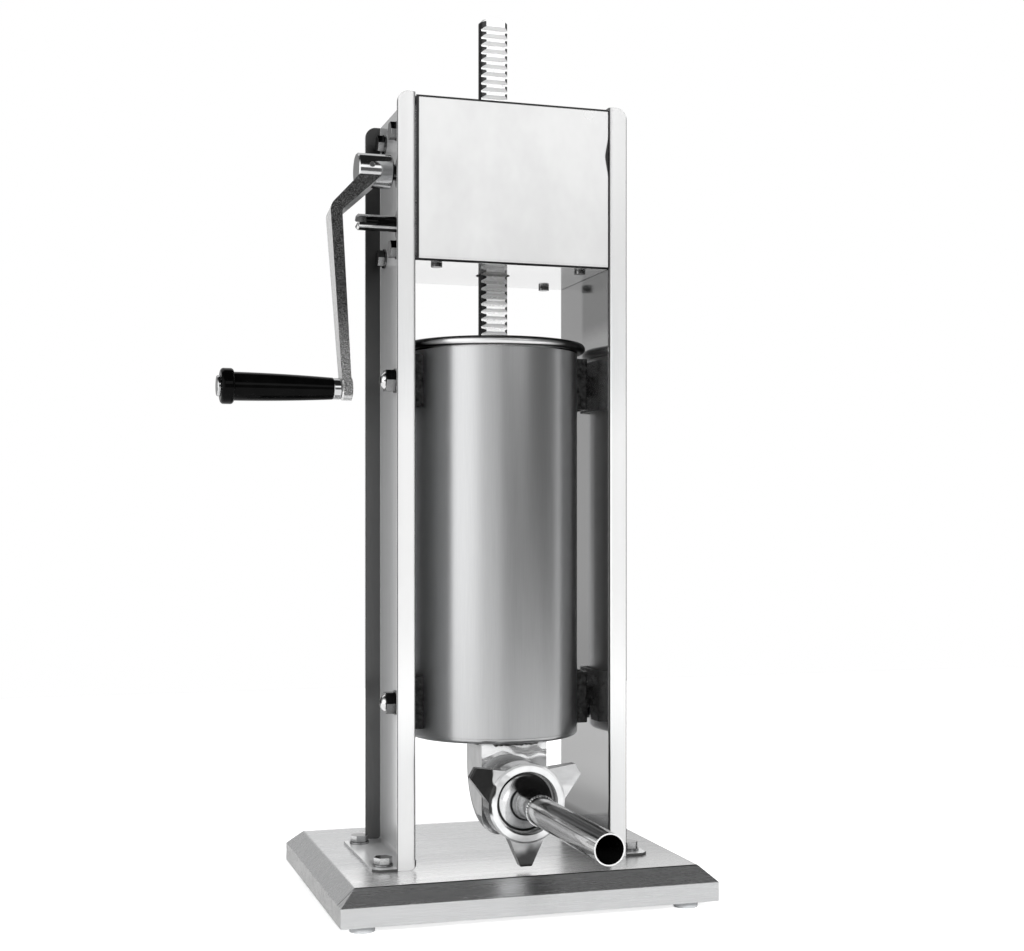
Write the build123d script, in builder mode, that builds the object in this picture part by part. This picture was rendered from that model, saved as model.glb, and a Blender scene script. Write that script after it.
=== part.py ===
from build123d import *
from math import acos, atan2, cos, degrees, pi, radians, sin, tan
import os

os.makedirs("parts", exist_ok=True)

# Vertical sausage stuffer. Millimetres, X to the right, Y to the back, Z up.
# Sizes across (_x) and in depth (_y) are taken from the cylinder's axis, heights from the table.

# ---------------------------------------------------------------- clearances
running_gap = 0.05  # shaft or bar in its bush, on the radius
body_gap = 0.3  # between curved faces of pieces that move apart
bolt_gap = 0.3  # bolt in its hole, on the radius

# ---------------------------------------------------------------------- base
base_width = 301.0
base_depth = 254.0
base_shift_y = 8.0  # the base reaches further behind the columns than in front
base_sheet = 1.5
base_bend = 2.5
shoulder_run = 13.0
shoulder_drop = 12.0
skirt_height = 15.0
foot_height = 7.0
foot_radius = 10.5
foot_taper = 1.0
foot_inset = 20.0
gusset_leg = 46.0
gusset_sheet = 2.5
deck_top = foot_height + skirt_height + shoulder_drop

# ------------------------------------------------------------------- columns
web_x = 80.0  # inner face of each web
column_sheet = 2.0
flange_x = 95.0
column_depth = 123.0
column_top = 640.0
column_bend = 2.0  # at the middle of the sheet
column_corner = 9.0
foot_bend = 4.0
foot_plate_x = 114.0
foot_plate_chamfer = 5.0
foot_bolt_x = 103.0
foot_bolt_y = 46.0

# --------------------------------------------------------------- fasteners
bolt_radius = 4.0
bolt_flats = 13.0
bolt_head = 5.3
washer_radius = 8.0
washer_thickness = 1.6
small_screw_radius = 2.5
small_head_radius = 4.5
small_head = 3.0
small_nut_flats = 8.0
small_nut_height = 4.0
column_nut_height = 6.5
bolt_end = 2.0  # a bolt's end past its nut
small_screw_end = 1.0

# ------------------------------------------------------------- gear housing
housing_bottom = 509.3
housing_top = 638.0
housing_front_y = -60.6
housing_rear_y = 60.6
housing_sheet = 1.5
housing_bend = 2.5
housing_side_gap = 0.5
rack_hole_radius = 14.0
cover_screw_x = 60.0
cover_screw_y = 47.0
gearbox_floor_thickness = 8.0
gearbox_roof_thickness = 6.0
cheek_thickness = 6.0
cheek_height = 119.0
gearbox_bolt_front_y = -6.0
gearbox_bolt_rear_y = 42.0
gearbox_bolt_low = 526.0
gearbox_bolt_high = 622.0
rack_bush_wall = 4.0
rack_bush_length = 6.0  # below its flange
rack_bush_flange = 3.0
rack_bush_flange_thickness = 2.0

# ---------------------------------------------------------------- gear train
pressure_angle = radians(20)
backlash = 0.24
rack_module = 2.0
pinion_teeth = 12
gear_module = 1.5
small_teeth = 14
large_teeth = 41
profile_shift = 0.3  # keeps the two small pinions from being undercut
tooth_dedendum = 1.25  # depth of a tooth below the pitch line, in modules
tooth_foot = 0.95  # where a tooth's foot starts inside the gear's body, of its root radius
fast_shaft_z = 585.2
shaft_radius = 7.0
shaft_end_radius = 6.5  # of the stepped left end that takes the crank
shaft_step = 1.0  # from the left bush's flange to the step
shaft_end_gap = 1.0
shaft_chamfer = 1.5
fast_shaft_left = 113.5
slow_shaft_left = 119.0
shaft_slot_width = 4.6
shaft_slot_depth = 7.0
shaft_bush_wall = 4.0
shaft_bush_flange_radius = 12.5
shaft_bush_flange = 3.0
pinion_width = 18.0
large_gear_width = 12.0
small_pinion_width = 15.0
large_gear_x = -40.0
gear_hub_radius = 13.0
gear_hub_length = 12.0
pinion_hub_length = 10.0
gear_pin_radius = 1.5
ring_radius = 9.5
ring_thickness = 1.2
ring_groove = 0.8
groove_play = 0.05

# ---------------------------------------------------------------------- rack
rack_radius = 12.0
rack_flat = 9.0  # milled front face, from the bar's axis
rack_bottom = 242.0
rack_top = 720.0
rack_plain_bottom = 60.0
rack_plain_top = 7.0
rack_chamfer = 2.5

# -------------------------------------------------------------------- piston
piston_thickness = 16.0
piston_rim_gap = 1.8
piston_boss_radius = 20.0
piston_boss_height = 12.0
piston_spigot_radius = 8.0
seal_height = 8.0
seal_depth = 3.5
piston_screw_radius = 4.0
piston_screw_length = 24.0
piston_screw_play = 1.0  # below the end of its hole
piston_screw_head = 5.0
piston_washer_radius = 13.0
piston_washer_thickness = 2.0
piston_recess_depth = 8.0
piston_edge = 1.5
valve_x = 40.0
valve_radius = 4.8
valve_head_radius = 8.0
valve_head = 3.0
valve_travel = 4.0
valve_foot_radius = 6.5
valve_foot = 2.0

# ------------------------------------------------------------------ cylinder
cylinder_radius = 70.0
cylinder_wall = 1.5
cylinder_bottom = 130.0
cylinder_top = 451.5
rim_tube_radius = 3.6
rim_radius = 76.6
floor_corner = 2.5

# -------------------------------------------------------------------- hangers
hanger_plate_x = 75.5  # outer face of the plate
hanger_sheet = 2.5
hanger_width = 50.0
hanger_height = 42.0
hanger_bend = 3.0
upper_hanger_bottom = 398.0
lower_hanger_bottom = 139.0
upper_pin_z = 420.0
lower_pin_z = 158.0
pin_radius = 5.0
pin_head_radius = 8.0
pin_head = 2.0
pin_bush_radius = 9.0
pin_washer_radius = 10.0
pin_thread_length = 10.0
acorn_flats = 17.0
acorn_hex = 8.0
acorn_dome = 8.5

# -------------------------------------------------------------------- outlet
outlet_z = 87.5
elbow_front_y = -61.0
elbow_rear_y = -4.5
elbow_width = 54.0
elbow_bottom = 58.0
elbow_bend = 52.0
elbow_edge = 15.0
elbow_wall = 2.0
spigot_radius = 26.0
spigot_wall = 3.5
spigot_length = 23.0
spigot_edge = 1.0
gasket_thickness = 2.5
seat_gap = 0.2

# ----------------------------------------------------- stuffing tube and nut
tube_radius = 11.0
tube_wall = 1.0
tube_front_y = -276.0
tube_rear_y = -129.0
flare_wall = 1.2
flare_radius = 25.9
flare_bend = 16.0
neck_length = 11.0  # inside the tube's rear end, which is opened out to take it
neck_seat = 0.4
nut_radius = 30.8
nut_hole_radius = 24.6
nut_length = 20.0
nut_lip = 8.0
nut_edge = 1.5
lobe_reach = 49.5
lobe_middle = 8.0  # of a lobe's depth, behind the nut's front
lobe_root_width = 30.0
lobe_tip_width = 9.0
lobe_root_depth = 14.0
lobe_tip_depth = 8.0
lobe_edge = 1.5

# --------------------------------------------------------------------- crank
crank_reach = 180.0
crank_swing = radians(10)  # the arm hangs this far ahead of straight down
hub_radius = 13.5
hub_length = 28.0
hub_inner_x = 91.0
hub_wall = 4.0
hub_chamfer = 1.0
hub_pin_radius = 2.0
arm_root_x = 102.4
arm_bend_x = 138.0
arm_tip_x = 133.5
arm_bend_drop = 36.0
arm_root_width = 13.4
arm_bend_width = 9.3
arm_tip_width = 7.3
arm_root_depth = 23.0
arm_tip_depth = 13.5
arm_bend_radius = 12.0
boss_radius = 9.0
boss_length = 8.2
boss_edge = 1.2
boss_proud = 0.3  # beyond the arm's outer side
spindle_radius = 4.0
spindle_head_radius = 8.0
spindle_head = 2.5
ferrule_radius = 8.2
ferrule_length = 6.3
ferrule_edge = 1.0
grip_length = 75.6
grip_thin_radius = 8.5
grip_thick_radius = 11.0
grip_crown = 0.5
cap_radius = 13.7
cap_length = 10.0
cap_edge = 2.5

# ------------------------------------------------------- sizes that follow
rack_pitch = pi * rack_module
pinion_radius = rack_module * pinion_teeth / 2
small_radius = gear_module * small_teeth / 2
large_radius = gear_module * large_teeth / 2
rack_datum_y = rack_module - rack_flat
shaft_y = rack_datum_y - pinion_radius - profile_shift * rack_module
slow_shaft_z = fast_shaft_z - small_radius - large_radius
web_outer_x = web_x + column_sheet
cheek_inner_x = web_x - cheek_thickness
gearbox_bottom = housing_bottom + housing_sheet
gearbox_floor_top = gearbox_bottom + gearbox_floor_thickness
gearbox_top = gearbox_bottom + cheek_height
gearbox_front_y = housing_front_y + housing_sheet
gearbox_rear_y = housing_rear_y - housing_sheet
gearbox_depth = gearbox_rear_y - gearbox_front_y
gearbox_middle_y = (gearbox_rear_y + gearbox_front_y) / 2
cylinder_bore = cylinder_radius - cylinder_wall
cylinder_floor_edge = cylinder_bottom + floor_corner + cylinder_wall
rim_z = cylinder_top - rim_tube_radius
elbow_depth = elbow_rear_y - elbow_front_y
piston_bottom = rack_bottom - piston_thickness
boss_outer_x = arm_tip_x + arm_tip_width / 2 + boss_proud
spindle_end_x = boss_outer_x + 2 * body_gap + ferrule_length + grip_length + cap_length
grip_end_x = spindle_end_x + spindle_head

# The part's origin is on the table, in the middle of everything that the part covers.
axis_x = (grip_end_x - base_width / 2) / 2
axis_y = (-tube_front_y - base_shift_y - base_depth / 2) / 2
level = Plane(origin=(axis_x, axis_y, 0))
side_on = Plane(origin=(axis_x, axis_y, 0), x_dir=(0, 1, 0), z_dir=(1, 0, 0))
front_on = Plane(origin=(axis_x, axis_y, 0), x_dir=(1, 0, 0), z_dir=(0, -1, 0))
cylinder_axis = Axis((axis_x, axis_y, 0), (0, 0, 1))


def hexagon(flats):
    with BuildSketch() as outline:
        RegularPolygon(flats / 2, 6, major_radius=False)
    return outline.sketch


def disc(radius):
    with BuildSketch() as outline:
        Circle(radius)
    return outline.sketch


# Headed bolts at the spots of each plane: heads on the plane, shanks the other way.
def bolts(placings, head_outline, head, shank_radius, length):
    with BuildPart() as set_of_bolts:
        for plane, spots in placings:
            with BuildSketch(plane):
                with Locations(*spots):
                    add(head_outline)
            extrude(amount=head)
            with BuildSketch(plane):
                with Locations(*spots):
                    Circle(shank_radius)
            extrude(amount=-length)
    return set_of_bolts


# Washers, bushes or nuts, standing on each plane at its spots.
def rings(placings, outline, hole_radius, thickness):
    with BuildPart() as set_of_rings:
        for plane, spots in placings:
            with BuildSketch(plane):
                with Locations(*spots):
                    add(outline)
                    Circle(hole_radius, mode=Mode.SUBTRACT)
            extrude(amount=thickness)
    return set_of_rings


# A spur gear's outline with involute flanks, one tooth on the sketch's +X axis.
def gear_outline(teeth, module, shift):
    pitch_radius = module * teeth / 2
    base_radius = pitch_radius * cos(pressure_angle)
    tip_radius = pitch_radius + module * (1 + shift)
    root_radius = pitch_radius - module * (tooth_dedendum - shift)
    tooth = module * (pi / 2 + 2 * shift * tan(pressure_angle)) - backlash / 2

    def flank(radius):
        turned = acos(base_radius / radius)
        half = tooth / 2 / pitch_radius + tan(pressure_angle) - pressure_angle
        angle = half - tan(turned) + turned
        return radius * cos(angle), radius * sin(angle)

    start = flank(base_radius)
    middle = flank((base_radius + tip_radius) / 2)
    tip = flank(tip_radius)
    inward = tooth_foot * root_radius / base_radius
    foot = (inward * start[0], inward * start[1])
    with BuildSketch() as one_tooth:
        with BuildLine():
            Line(foot, start)
            ThreePointArc(start, middle, tip)
            Line(tip, (tip[0], -tip[1]))
            ThreePointArc((tip[0], -tip[1]), (middle[0], -middle[1]), (start[0], -start[1]))
            Line((start[0], -start[1]), (foot[0], -foot[1]))
            Line((foot[0], -foot[1]), foot)
        make_face()
    with BuildSketch() as outline:
        Circle(root_radius)
        with PolarLocations(0, teeth):
            add(one_tooth.sketch)
    return outline.sketch


# A plane across the machine at x, its origin on a shaft, its +X axis turned by angle from +Y.
def across(x, y, z, angle=0):
    turned = radians(angle)
    return Plane(
        origin=(axis_x + x, axis_y + y, z), x_dir=(0, cos(turned), sin(turned)), z_dir=(1, 0, 0)
    )


# ====================================================================== base
# The pan's form, or with an inset the form of the space under its sheet.
def pan_form(inset):
    slope = atan2(shoulder_run, shoulder_drop)
    width = base_width - 2 * inset
    depth = base_depth - 2 * inset
    run = shoulder_run - inset + inset * tan((pi / 2 - slope) / 2)
    with BuildPart() as form:
        with BuildSketch(level.offset(foot_height)):
            with Locations((0, base_shift_y)):
                Rectangle(width, depth)
        extrude(amount=skirt_height - inset * tan(slope / 2))
        with BuildSketch(level.offset(foot_height + skirt_height - inset * tan(slope / 2))):
            with Locations((0, base_shift_y)):
                Rectangle(width, depth)
        with BuildSketch(level.offset(deck_top - inset)):
            with Locations((0, base_shift_y)):
                Rectangle(width - 2 * run, depth - 2 * run)
        loft()
    return form


with BuildPart() as base_pan:
    add(pan_form(0).part)
    fillet(base_pan.edges().group_by(Axis.Z)[-1], radius=base_bend)
    add(pan_form(base_sheet).part, mode=Mode.SUBTRACT)
    with BuildSketch(level.offset(deck_top)):
        with GridLocations(2 * foot_bolt_x, 2 * foot_bolt_y, 2, 2):
            Circle(bolt_radius + bolt_gap)
    extrude(amount=-2 * base_sheet, mode=Mode.SUBTRACT)
base_pan.part.label = "base_pan"
export_step(base_pan.part, "parts/base_pan.step")

# Corner gussets, welded inside the skirt: the rubber feet are screwed to them.
foot_spots = [
    (x, base_shift_y + y)
    for x in (foot_inset - base_width / 2, base_width / 2 - foot_inset)
    for y in (foot_inset - base_depth / 2, base_depth / 2 - foot_inset)
]
with BuildSketch() as pan_middle:
    Rectangle(base_width - 2 * base_sheet, base_depth - 2 * base_sheet)
    chamfer(pan_middle.vertices(), length=gusset_leg)
with BuildPart() as foot_gussets:
    with BuildSketch(level.offset(foot_height)):
        with Locations((0, base_shift_y)):
            Rectangle(base_width - 2 * base_sheet, base_depth - 2 * base_sheet)
            add(pan_middle.sketch, mode=Mode.SUBTRACT)
        with Locations(*foot_spots):
            Circle(small_screw_radius + bolt_gap, mode=Mode.SUBTRACT)
    extrude(amount=gusset_sheet)
foot_gussets.part.label = "foot_gussets"
export_step(foot_gussets.part, "parts/foot_gussets.step")

with BuildPart() as rubber_feet:
    with BuildSketch(level.offset(foot_height)):
        with Locations(*foot_spots):
            Circle(foot_radius)
    extrude(amount=-foot_height, taper=degrees(atan2(foot_taper, foot_height)))
    with BuildSketch(level):
        with Locations(*foot_spots):
            Circle(small_screw_radius + bolt_gap)
    extrude(amount=foot_height, mode=Mode.SUBTRACT)
    with BuildSketch(level):
        with Locations(*foot_spots):
            Circle(small_head_radius + bolt_gap)
    extrude(amount=foot_height / 2, mode=Mode.SUBTRACT)
rubber_feet.part.label = "rubber_feet"
export_step(rubber_feet.part, "parts/rubber_feet.step")

foot_screw_seat = Plane(origin=(axis_x, axis_y, foot_height / 2), x_dir=(1, 0, 0), z_dir=(0, 0, -1))
foot_screws = bolts(
    [(foot_screw_seat, [(x, -y) for x, y in foot_spots])],
    disc(small_head_radius),
    small_head,
    small_screw_radius,
    foot_height / 2 + gusset_sheet + small_nut_height + small_screw_end,
)
foot_screws.part.label = "foot_screws"
export_step(foot_screws.part, "parts/foot_screws.step")

foot_nuts = rings(
    [(level.offset(foot_height + gusset_sheet), foot_spots)],
    hexagon(small_nut_flats),
    small_screw_radius + running_gap,
    small_nut_height,
)
foot_nuts.part.label = "foot_nuts"
export_step(foot_nuts.part, "parts/foot_nuts.step")

# =================================================================== columns
# U-channels, open outward; each web is bent outward below into its foot plate.
flange_y = (column_depth - column_sheet) / 2
shaft_heights = (fast_shaft_z, slow_shaft_z)
pin_heights = (upper_pin_z, lower_pin_z)
gearbox_bolt_spots = [
    (y, z)
    for y in (gearbox_bolt_front_y, gearbox_bolt_rear_y)
    for z in (gearbox_bolt_low, gearbox_bolt_high)
]
foot_bolt_spots = [
    (x, y) for x in (-foot_bolt_x, foot_bolt_x) for y in (-foot_bolt_y, foot_bolt_y)
]
for hand, name in ((-1, "column_left"), (1, "column_right")):
    web_middle_x = hand * (web_x + column_sheet / 2)
    with BuildPart() as column:
        with BuildSketch(level.offset(deck_top + column_sheet)):
            with BuildLine():
                FilletPolyline(
                    (hand * flange_x, -flange_y),
                    (web_middle_x, -flange_y),
                    (web_middle_x, flange_y),
                    (hand * flange_x, flange_y),
                    radius=column_bend,
                )
            trace(line_width=column_sheet)
        extrude(amount=column_top - deck_top - column_sheet)
        with BuildSketch(front_on) as silhouette:
            with Locations((hand * (web_x + flange_x) / 2, (deck_top + column_top) / 2)):
                Rectangle(flange_x - web_x, column_top - deck_top)
            top_corner = silhouette.vertices().sort_by_distance((hand * flange_x, column_top))[0]
            fillet(top_corner, radius=column_corner)
            foot_corner = silhouette.vertices().sort_by_distance((hand * web_x, deck_top))[0]
            fillet(foot_corner, radius=foot_bend + column_sheet / 2)
        extrude(amount=column_depth, both=True, mode=Mode.INTERSECT)
        with BuildSketch(front_on):
            with BuildLine():
                FilletPolyline(
                    (web_middle_x, deck_top + 2 * foot_bend),
                    (web_middle_x, deck_top + column_sheet / 2),
                    (hand * foot_plate_x, deck_top + column_sheet / 2),
                    radius=foot_bend,
                )
            trace(line_width=column_sheet)
        extrude(amount=column_depth / 2, both=True)
        chamfer(
            column.edges().filter_by(Axis.Z).group_by(Axis.X)[-1 if hand > 0 else 0],
            length=foot_plate_chamfer,
        )
        with BuildSketch(level.offset(deck_top)):
            with Locations(*[(hand * foot_bolt_x, y) for y in (-foot_bolt_y, foot_bolt_y)]):
                Circle(bolt_radius + bolt_gap)
        extrude(amount=column_sheet, mode=Mode.SUBTRACT)
        with BuildSketch(side_on.offset(web_middle_x)):
            with Locations(*gearbox_bolt_spots):
                Circle(bolt_radius + bolt_gap)
            with Locations(*[(0, z) for z in pin_heights]):
                Circle(pin_radius + bolt_gap)
            if hand < 0:
                with Locations(*[(shaft_y, z) for z in shaft_heights]):
                    Circle(shaft_radius + shaft_bush_wall + bolt_gap)
        extrude(amount=column_sheet, both=True, mode=Mode.SUBTRACT)
    column.part.label = name
    export_step(column.part, f"parts/{name}.step")

foot_bolt_seat = deck_top + column_sheet
column_foot_washers = rings(
    [(level.offset(foot_bolt_seat), foot_bolt_spots)],
    disc(washer_radius),
    bolt_radius + bolt_gap,
    washer_thickness,
)
column_foot_washers.part.label = "column_foot_washers"
export_step(column_foot_washers.part, "parts/column_foot_washers.step")

foot_nut_top = deck_top - base_sheet
column_foot_bolts = bolts(
    [(level.offset(foot_bolt_seat + washer_thickness), foot_bolt_spots)],
    hexagon(bolt_flats),
    bolt_head,
    bolt_radius,
    foot_bolt_seat + washer_thickness - foot_nut_top + column_nut_height + bolt_end,
)
column_foot_bolts.part.label = "column_foot_bolts"
export_step(column_foot_bolts.part, "parts/column_foot_bolts.step")

column_foot_nuts = rings(
    [(level.offset(foot_nut_top - column_nut_height), foot_bolt_spots)],
    hexagon(bolt_flats),
    bolt_radius + running_gap,
    column_nut_height,
)
column_foot_nuts.part.label = "column_foot_nuts"
export_step(column_foot_nuts.part, "parts/column_foot_nuts.step")

# ============================================================== gear housing
# One sheet folded up from below: front, underside and rear.
cover_middle = housing_sheet / 2
cover_spots = [
    (x, y) for x in (-cover_screw_x, cover_screw_x) for y in (-cover_screw_y, cover_screw_y)
]
with BuildPart() as housing_cover:
    with BuildSketch(side_on):
        with BuildLine():
            FilletPolyline(
                (housing_front_y + cover_middle, housing_top),
                (housing_front_y + cover_middle, housing_bottom + cover_middle),
                (housing_rear_y - cover_middle, housing_bottom + cover_middle),
                (housing_rear_y - cover_middle, housing_top),
                radius=housing_bend,
            )
        trace(line_width=housing_sheet)
    extrude(amount=web_x - housing_side_gap, both=True)
    with BuildSketch(level.offset(housing_bottom)):
        Circle(rack_hole_radius)
        with Locations(*cover_spots):
            Circle(small_screw_radius + bolt_gap)
    extrude(amount=housing_sheet, mode=Mode.SUBTRACT)
housing_cover.part.label = "housing_cover"
export_step(housing_cover.part, "parts/housing_cover.step")

# The top plate sits between the cover's front and rear; its lips stand on the gearbox roof.
with BuildPart() as housing_top_plate:
    with BuildSketch(side_on):
        with BuildLine():
            FilletPolyline(
                (gearbox_front_y + cover_middle, gearbox_top),
                (gearbox_front_y + cover_middle, housing_top - cover_middle),
                (gearbox_rear_y - cover_middle, housing_top - cover_middle),
                (gearbox_rear_y - cover_middle, gearbox_top),
                radius=housing_bend,
            )
        trace(line_width=housing_sheet)
    extrude(amount=web_x - housing_side_gap, both=True)
    with BuildSketch(level.offset(housing_top)):
        Circle(rack_hole_radius)
    extrude(amount=-housing_sheet, mode=Mode.SUBTRACT)
housing_top_plate.part.label = "housing_top_plate"
export_step(housing_top_plate.part, "parts/housing_top_plate.step")

underside = Plane(origin=(axis_x, axis_y, housing_bottom), x_dir=(1, 0, 0), z_dir=(0, 0, -1))
cover_screws = bolts(
    [(underside, [(x, -y) for x, y in cover_spots])],
    disc(small_head_radius),
    small_head,
    small_screw_radius,
    housing_sheet + gearbox_floor_thickness,
)
cover_screws.part.label = "cover_screws"
export_step(cover_screws.part, "parts/cover_screws.step")

# The gearbox: floor and roof plates between two cheeks that are bolted to the webs.
rack_bush_radius = rack_radius + running_gap + rack_bush_wall
with BuildPart() as gearbox_floor:
    with BuildSketch(level.offset(gearbox_bottom)):
        with Locations((0, gearbox_middle_y)):
            Rectangle(2 * cheek_inner_x, gearbox_depth)
        Circle(rack_bush_radius, mode=Mode.SUBTRACT)
        with Locations(*cover_spots):
            Circle(small_screw_radius + running_gap, mode=Mode.SUBTRACT)
    extrude(amount=gearbox_floor_thickness)
    chamfer(gearbox_floor.edges().filter_by(Axis.X).group_by(Axis.Z)[0], length=housing_bend)
gearbox_floor.part.label = "gearbox_floor"
export_step(gearbox_floor.part, "parts/gearbox_floor.step")

with BuildPart() as gearbox_roof:
    with BuildSketch(level.offset(gearbox_top - gearbox_roof_thickness)):
        with Locations((0, gearbox_middle_y)):
            Rectangle(2 * cheek_inner_x, gearbox_depth)
        Circle(rack_bush_radius, mode=Mode.SUBTRACT)
    extrude(amount=gearbox_roof_thickness)
gearbox_roof.part.label = "gearbox_roof"
export_step(gearbox_roof.part, "parts/gearbox_roof.step")

bush_seat_radius = shaft_radius + running_gap + shaft_bush_wall
for hand, name in ((-1, "gearbox_cheek_left"), (1, "gearbox_cheek_right")):
    with BuildPart() as cheek:
        with BuildSketch(side_on.offset(hand * (web_x - cheek_thickness / 2))):
            with Locations((gearbox_middle_y, (gearbox_bottom + gearbox_top) / 2)):
                Rectangle(gearbox_depth, gearbox_top - gearbox_bottom)
            with Locations(*gearbox_bolt_spots):
                Circle(bolt_radius + running_gap, mode=Mode.SUBTRACT)
            with Locations(*[(shaft_y, z) for z in shaft_heights]):
                Circle(bush_seat_radius, mode=Mode.SUBTRACT)
        extrude(amount=cheek_thickness / 2, both=True)
        chamfer(cheek.edges().filter_by(Axis.X).group_by(Axis.Z)[0], length=housing_bend)
    cheek.part.label = name
    export_step(cheek.part, f"parts/{name}.step")

left_web = Plane(origin=(axis_x - web_outer_x, axis_y, 0), x_dir=(0, -1, 0), z_dir=(-1, 0, 0))
right_web = side_on.offset(web_outer_x)
mirrored_bolt_spots = [(-y, z) for y, z in gearbox_bolt_spots]
gearbox_washers = rings(
    [(left_web, mirrored_bolt_spots), (right_web, gearbox_bolt_spots)],
    disc(washer_radius),
    bolt_radius + bolt_gap,
    washer_thickness,
)
gearbox_washers.part.label = "gearbox_washers"
export_step(gearbox_washers.part, "parts/gearbox_washers.step")

gearbox_bolts = bolts(
    [
        (left_web.offset(washer_thickness), mirrored_bolt_spots),
        (right_web.offset(washer_thickness), gearbox_bolt_spots),
    ],
    hexagon(bolt_flats),
    bolt_head,
    bolt_radius,
    washer_thickness + column_sheet + cheek_thickness,
)
gearbox_bolts.part.label = "gearbox_bolts"
export_step(gearbox_bolts.part, "parts/gearbox_bolts.step")

# Flanged bushes in floor and roof that guide the rack, both the same way up.
with BuildPart() as rack_bushes:
    for seat in (gearbox_floor_top, gearbox_top):
        with BuildSketch(level.offset(seat)):
            Circle(rack_bush_radius + rack_bush_flange)
        extrude(amount=rack_bush_flange_thickness)
        with BuildSketch(level.offset(seat)):
            Circle(rack_bush_radius)
        extrude(amount=-rack_bush_length)
        with BuildSketch(level.offset(seat + rack_bush_flange_thickness)):
            Circle(rack_radius + running_gap)
        extrude(amount=-2 * rack_bush_length, mode=Mode.SUBTRACT)
rack_bushes.part.label = "rack_bushes"
export_step(rack_bushes.part, "parts/rack_bushes.step")

# Flanged shaft bushes: the left ones show outside the web, the right ones sit inside.
for name, bush_start, bush_end, flange_start in (
    ("left", -cheek_inner_x, -web_outer_x, -web_outer_x),
    ("right", web_x, cheek_inner_x, cheek_inner_x),
):
    with BuildPart() as shaft_bushes:
        with BuildSketch(side_on.offset(bush_start)):
            with Locations(*[(shaft_y, z) for z in shaft_heights]):
                Circle(bush_seat_radius)
        extrude(amount=bush_end - bush_start)
        with BuildSketch(side_on.offset(flange_start)):
            with Locations(*[(shaft_y, z) for z in shaft_heights]):
                Circle(shaft_bush_flange_radius)
        extrude(amount=-shaft_bush_flange)
        with BuildSketch(side_on.offset(bush_start)):
            with Locations(*[(shaft_y, z) for z in shaft_heights]):
                Circle(shaft_radius + running_gap)
        extrude(amount=2 * shaft_bush_flange + web_x, both=True, mode=Mode.SUBTRACT)
    shaft_bushes.part.label = f"shaft_bushes_{name}"
    export_step(shaft_bushes.part, f"parts/shaft_bushes_{name}.step")

# ================================================================== cylinder
with BuildPart() as cylinder_barrel:
    with BuildSketch(front_on):
        with Locations((cylinder_radius - cylinder_wall / 2, (cylinder_floor_edge + rim_z) / 2)):
            Rectangle(cylinder_wall, rim_z - cylinder_floor_edge)
        with Locations((rim_radius - rim_tube_radius, rim_z)):
            Circle(rim_tube_radius)
    revolve(axis=cylinder_axis)
cylinder_barrel.part.label = "cylinder_barrel"
export_step(cylinder_barrel.part, "parts/cylinder_barrel.step")

# The floor is a shallow pressed dish, welded edge to edge to the barrel.
with BuildPart() as cylinder_floor:
    with BuildSketch(front_on):
        with BuildLine():
            FilletPolyline(
                (0, cylinder_bottom + cylinder_wall / 2),
                (cylinder_radius - cylinder_wall / 2, cylinder_bottom + cylinder_wall / 2),
                (cylinder_radius - cylinder_wall / 2, cylinder_floor_edge),
                radius=floor_corner,
            )
        trace(line_width=cylinder_wall)
    revolve(axis=cylinder_axis)
    with BuildSketch(level.offset(cylinder_bottom)):
        with Locations((0, (elbow_front_y + elbow_rear_y) / 2)):
            Rectangle(elbow_width - 2 * elbow_wall, elbow_depth - 2 * elbow_wall)
    extrude(amount=2 * cylinder_wall, mode=Mode.SUBTRACT)
cylinder_floor.part.label = "cylinder_floor"
export_step(cylinder_floor.part, "parts/cylinder_floor.step")

# Hangers: channels welded to the barrel. The upper slots are open to the rear and the lower
# ones downward, so that the cylinder tips forward off the upper pins and lifts off the lower.
hanger_wall_y = (hanger_width - hanger_sheet) / 2
hanger_middle_x = hanger_plate_x - hanger_sheet / 2
slot_half = pin_radius + bolt_gap
for hand, side_name in ((-1, "left"), (1, "right")):
    for height, bottom, pin_z in (
        ("upper", upper_hanger_bottom, upper_pin_z),
        ("lower", lower_hanger_bottom, lower_pin_z),
    ):
        with BuildPart() as hanger:
            with BuildSketch(level.offset(bottom)):
                with BuildLine():
                    FilletPolyline(
                        (hand * cylinder_radius / 2, -hanger_wall_y),
                        (hand * hanger_middle_x, -hanger_wall_y),
                        (hand * hanger_middle_x, hanger_wall_y),
                        (hand * cylinder_radius / 2, hanger_wall_y),
                        radius=hanger_bend,
                    )
                trace(line_width=hanger_sheet)
                Circle(cylinder_radius, mode=Mode.SUBTRACT)
            extrude(amount=hanger_height)
            with BuildSketch(side_on.offset(hand * hanger_middle_x)):
                with Locations((0, pin_z)):
                    Circle(slot_half)
                if height == "upper":
                    with Locations((hanger_width / 2, pin_z)):
                        Rectangle(hanger_width, 2 * slot_half)
                else:
                    with Locations((0, pin_z - hanger_height / 2)):
                        Rectangle(2 * slot_half, hanger_height)
            extrude(amount=hanger_width / 2, both=True, mode=Mode.SUBTRACT)
        hanger.part.label = f"hanger_{height}_{side_name}"
        export_step(hanger.part, f"parts/hanger_{height}_{side_name}.step")

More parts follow.
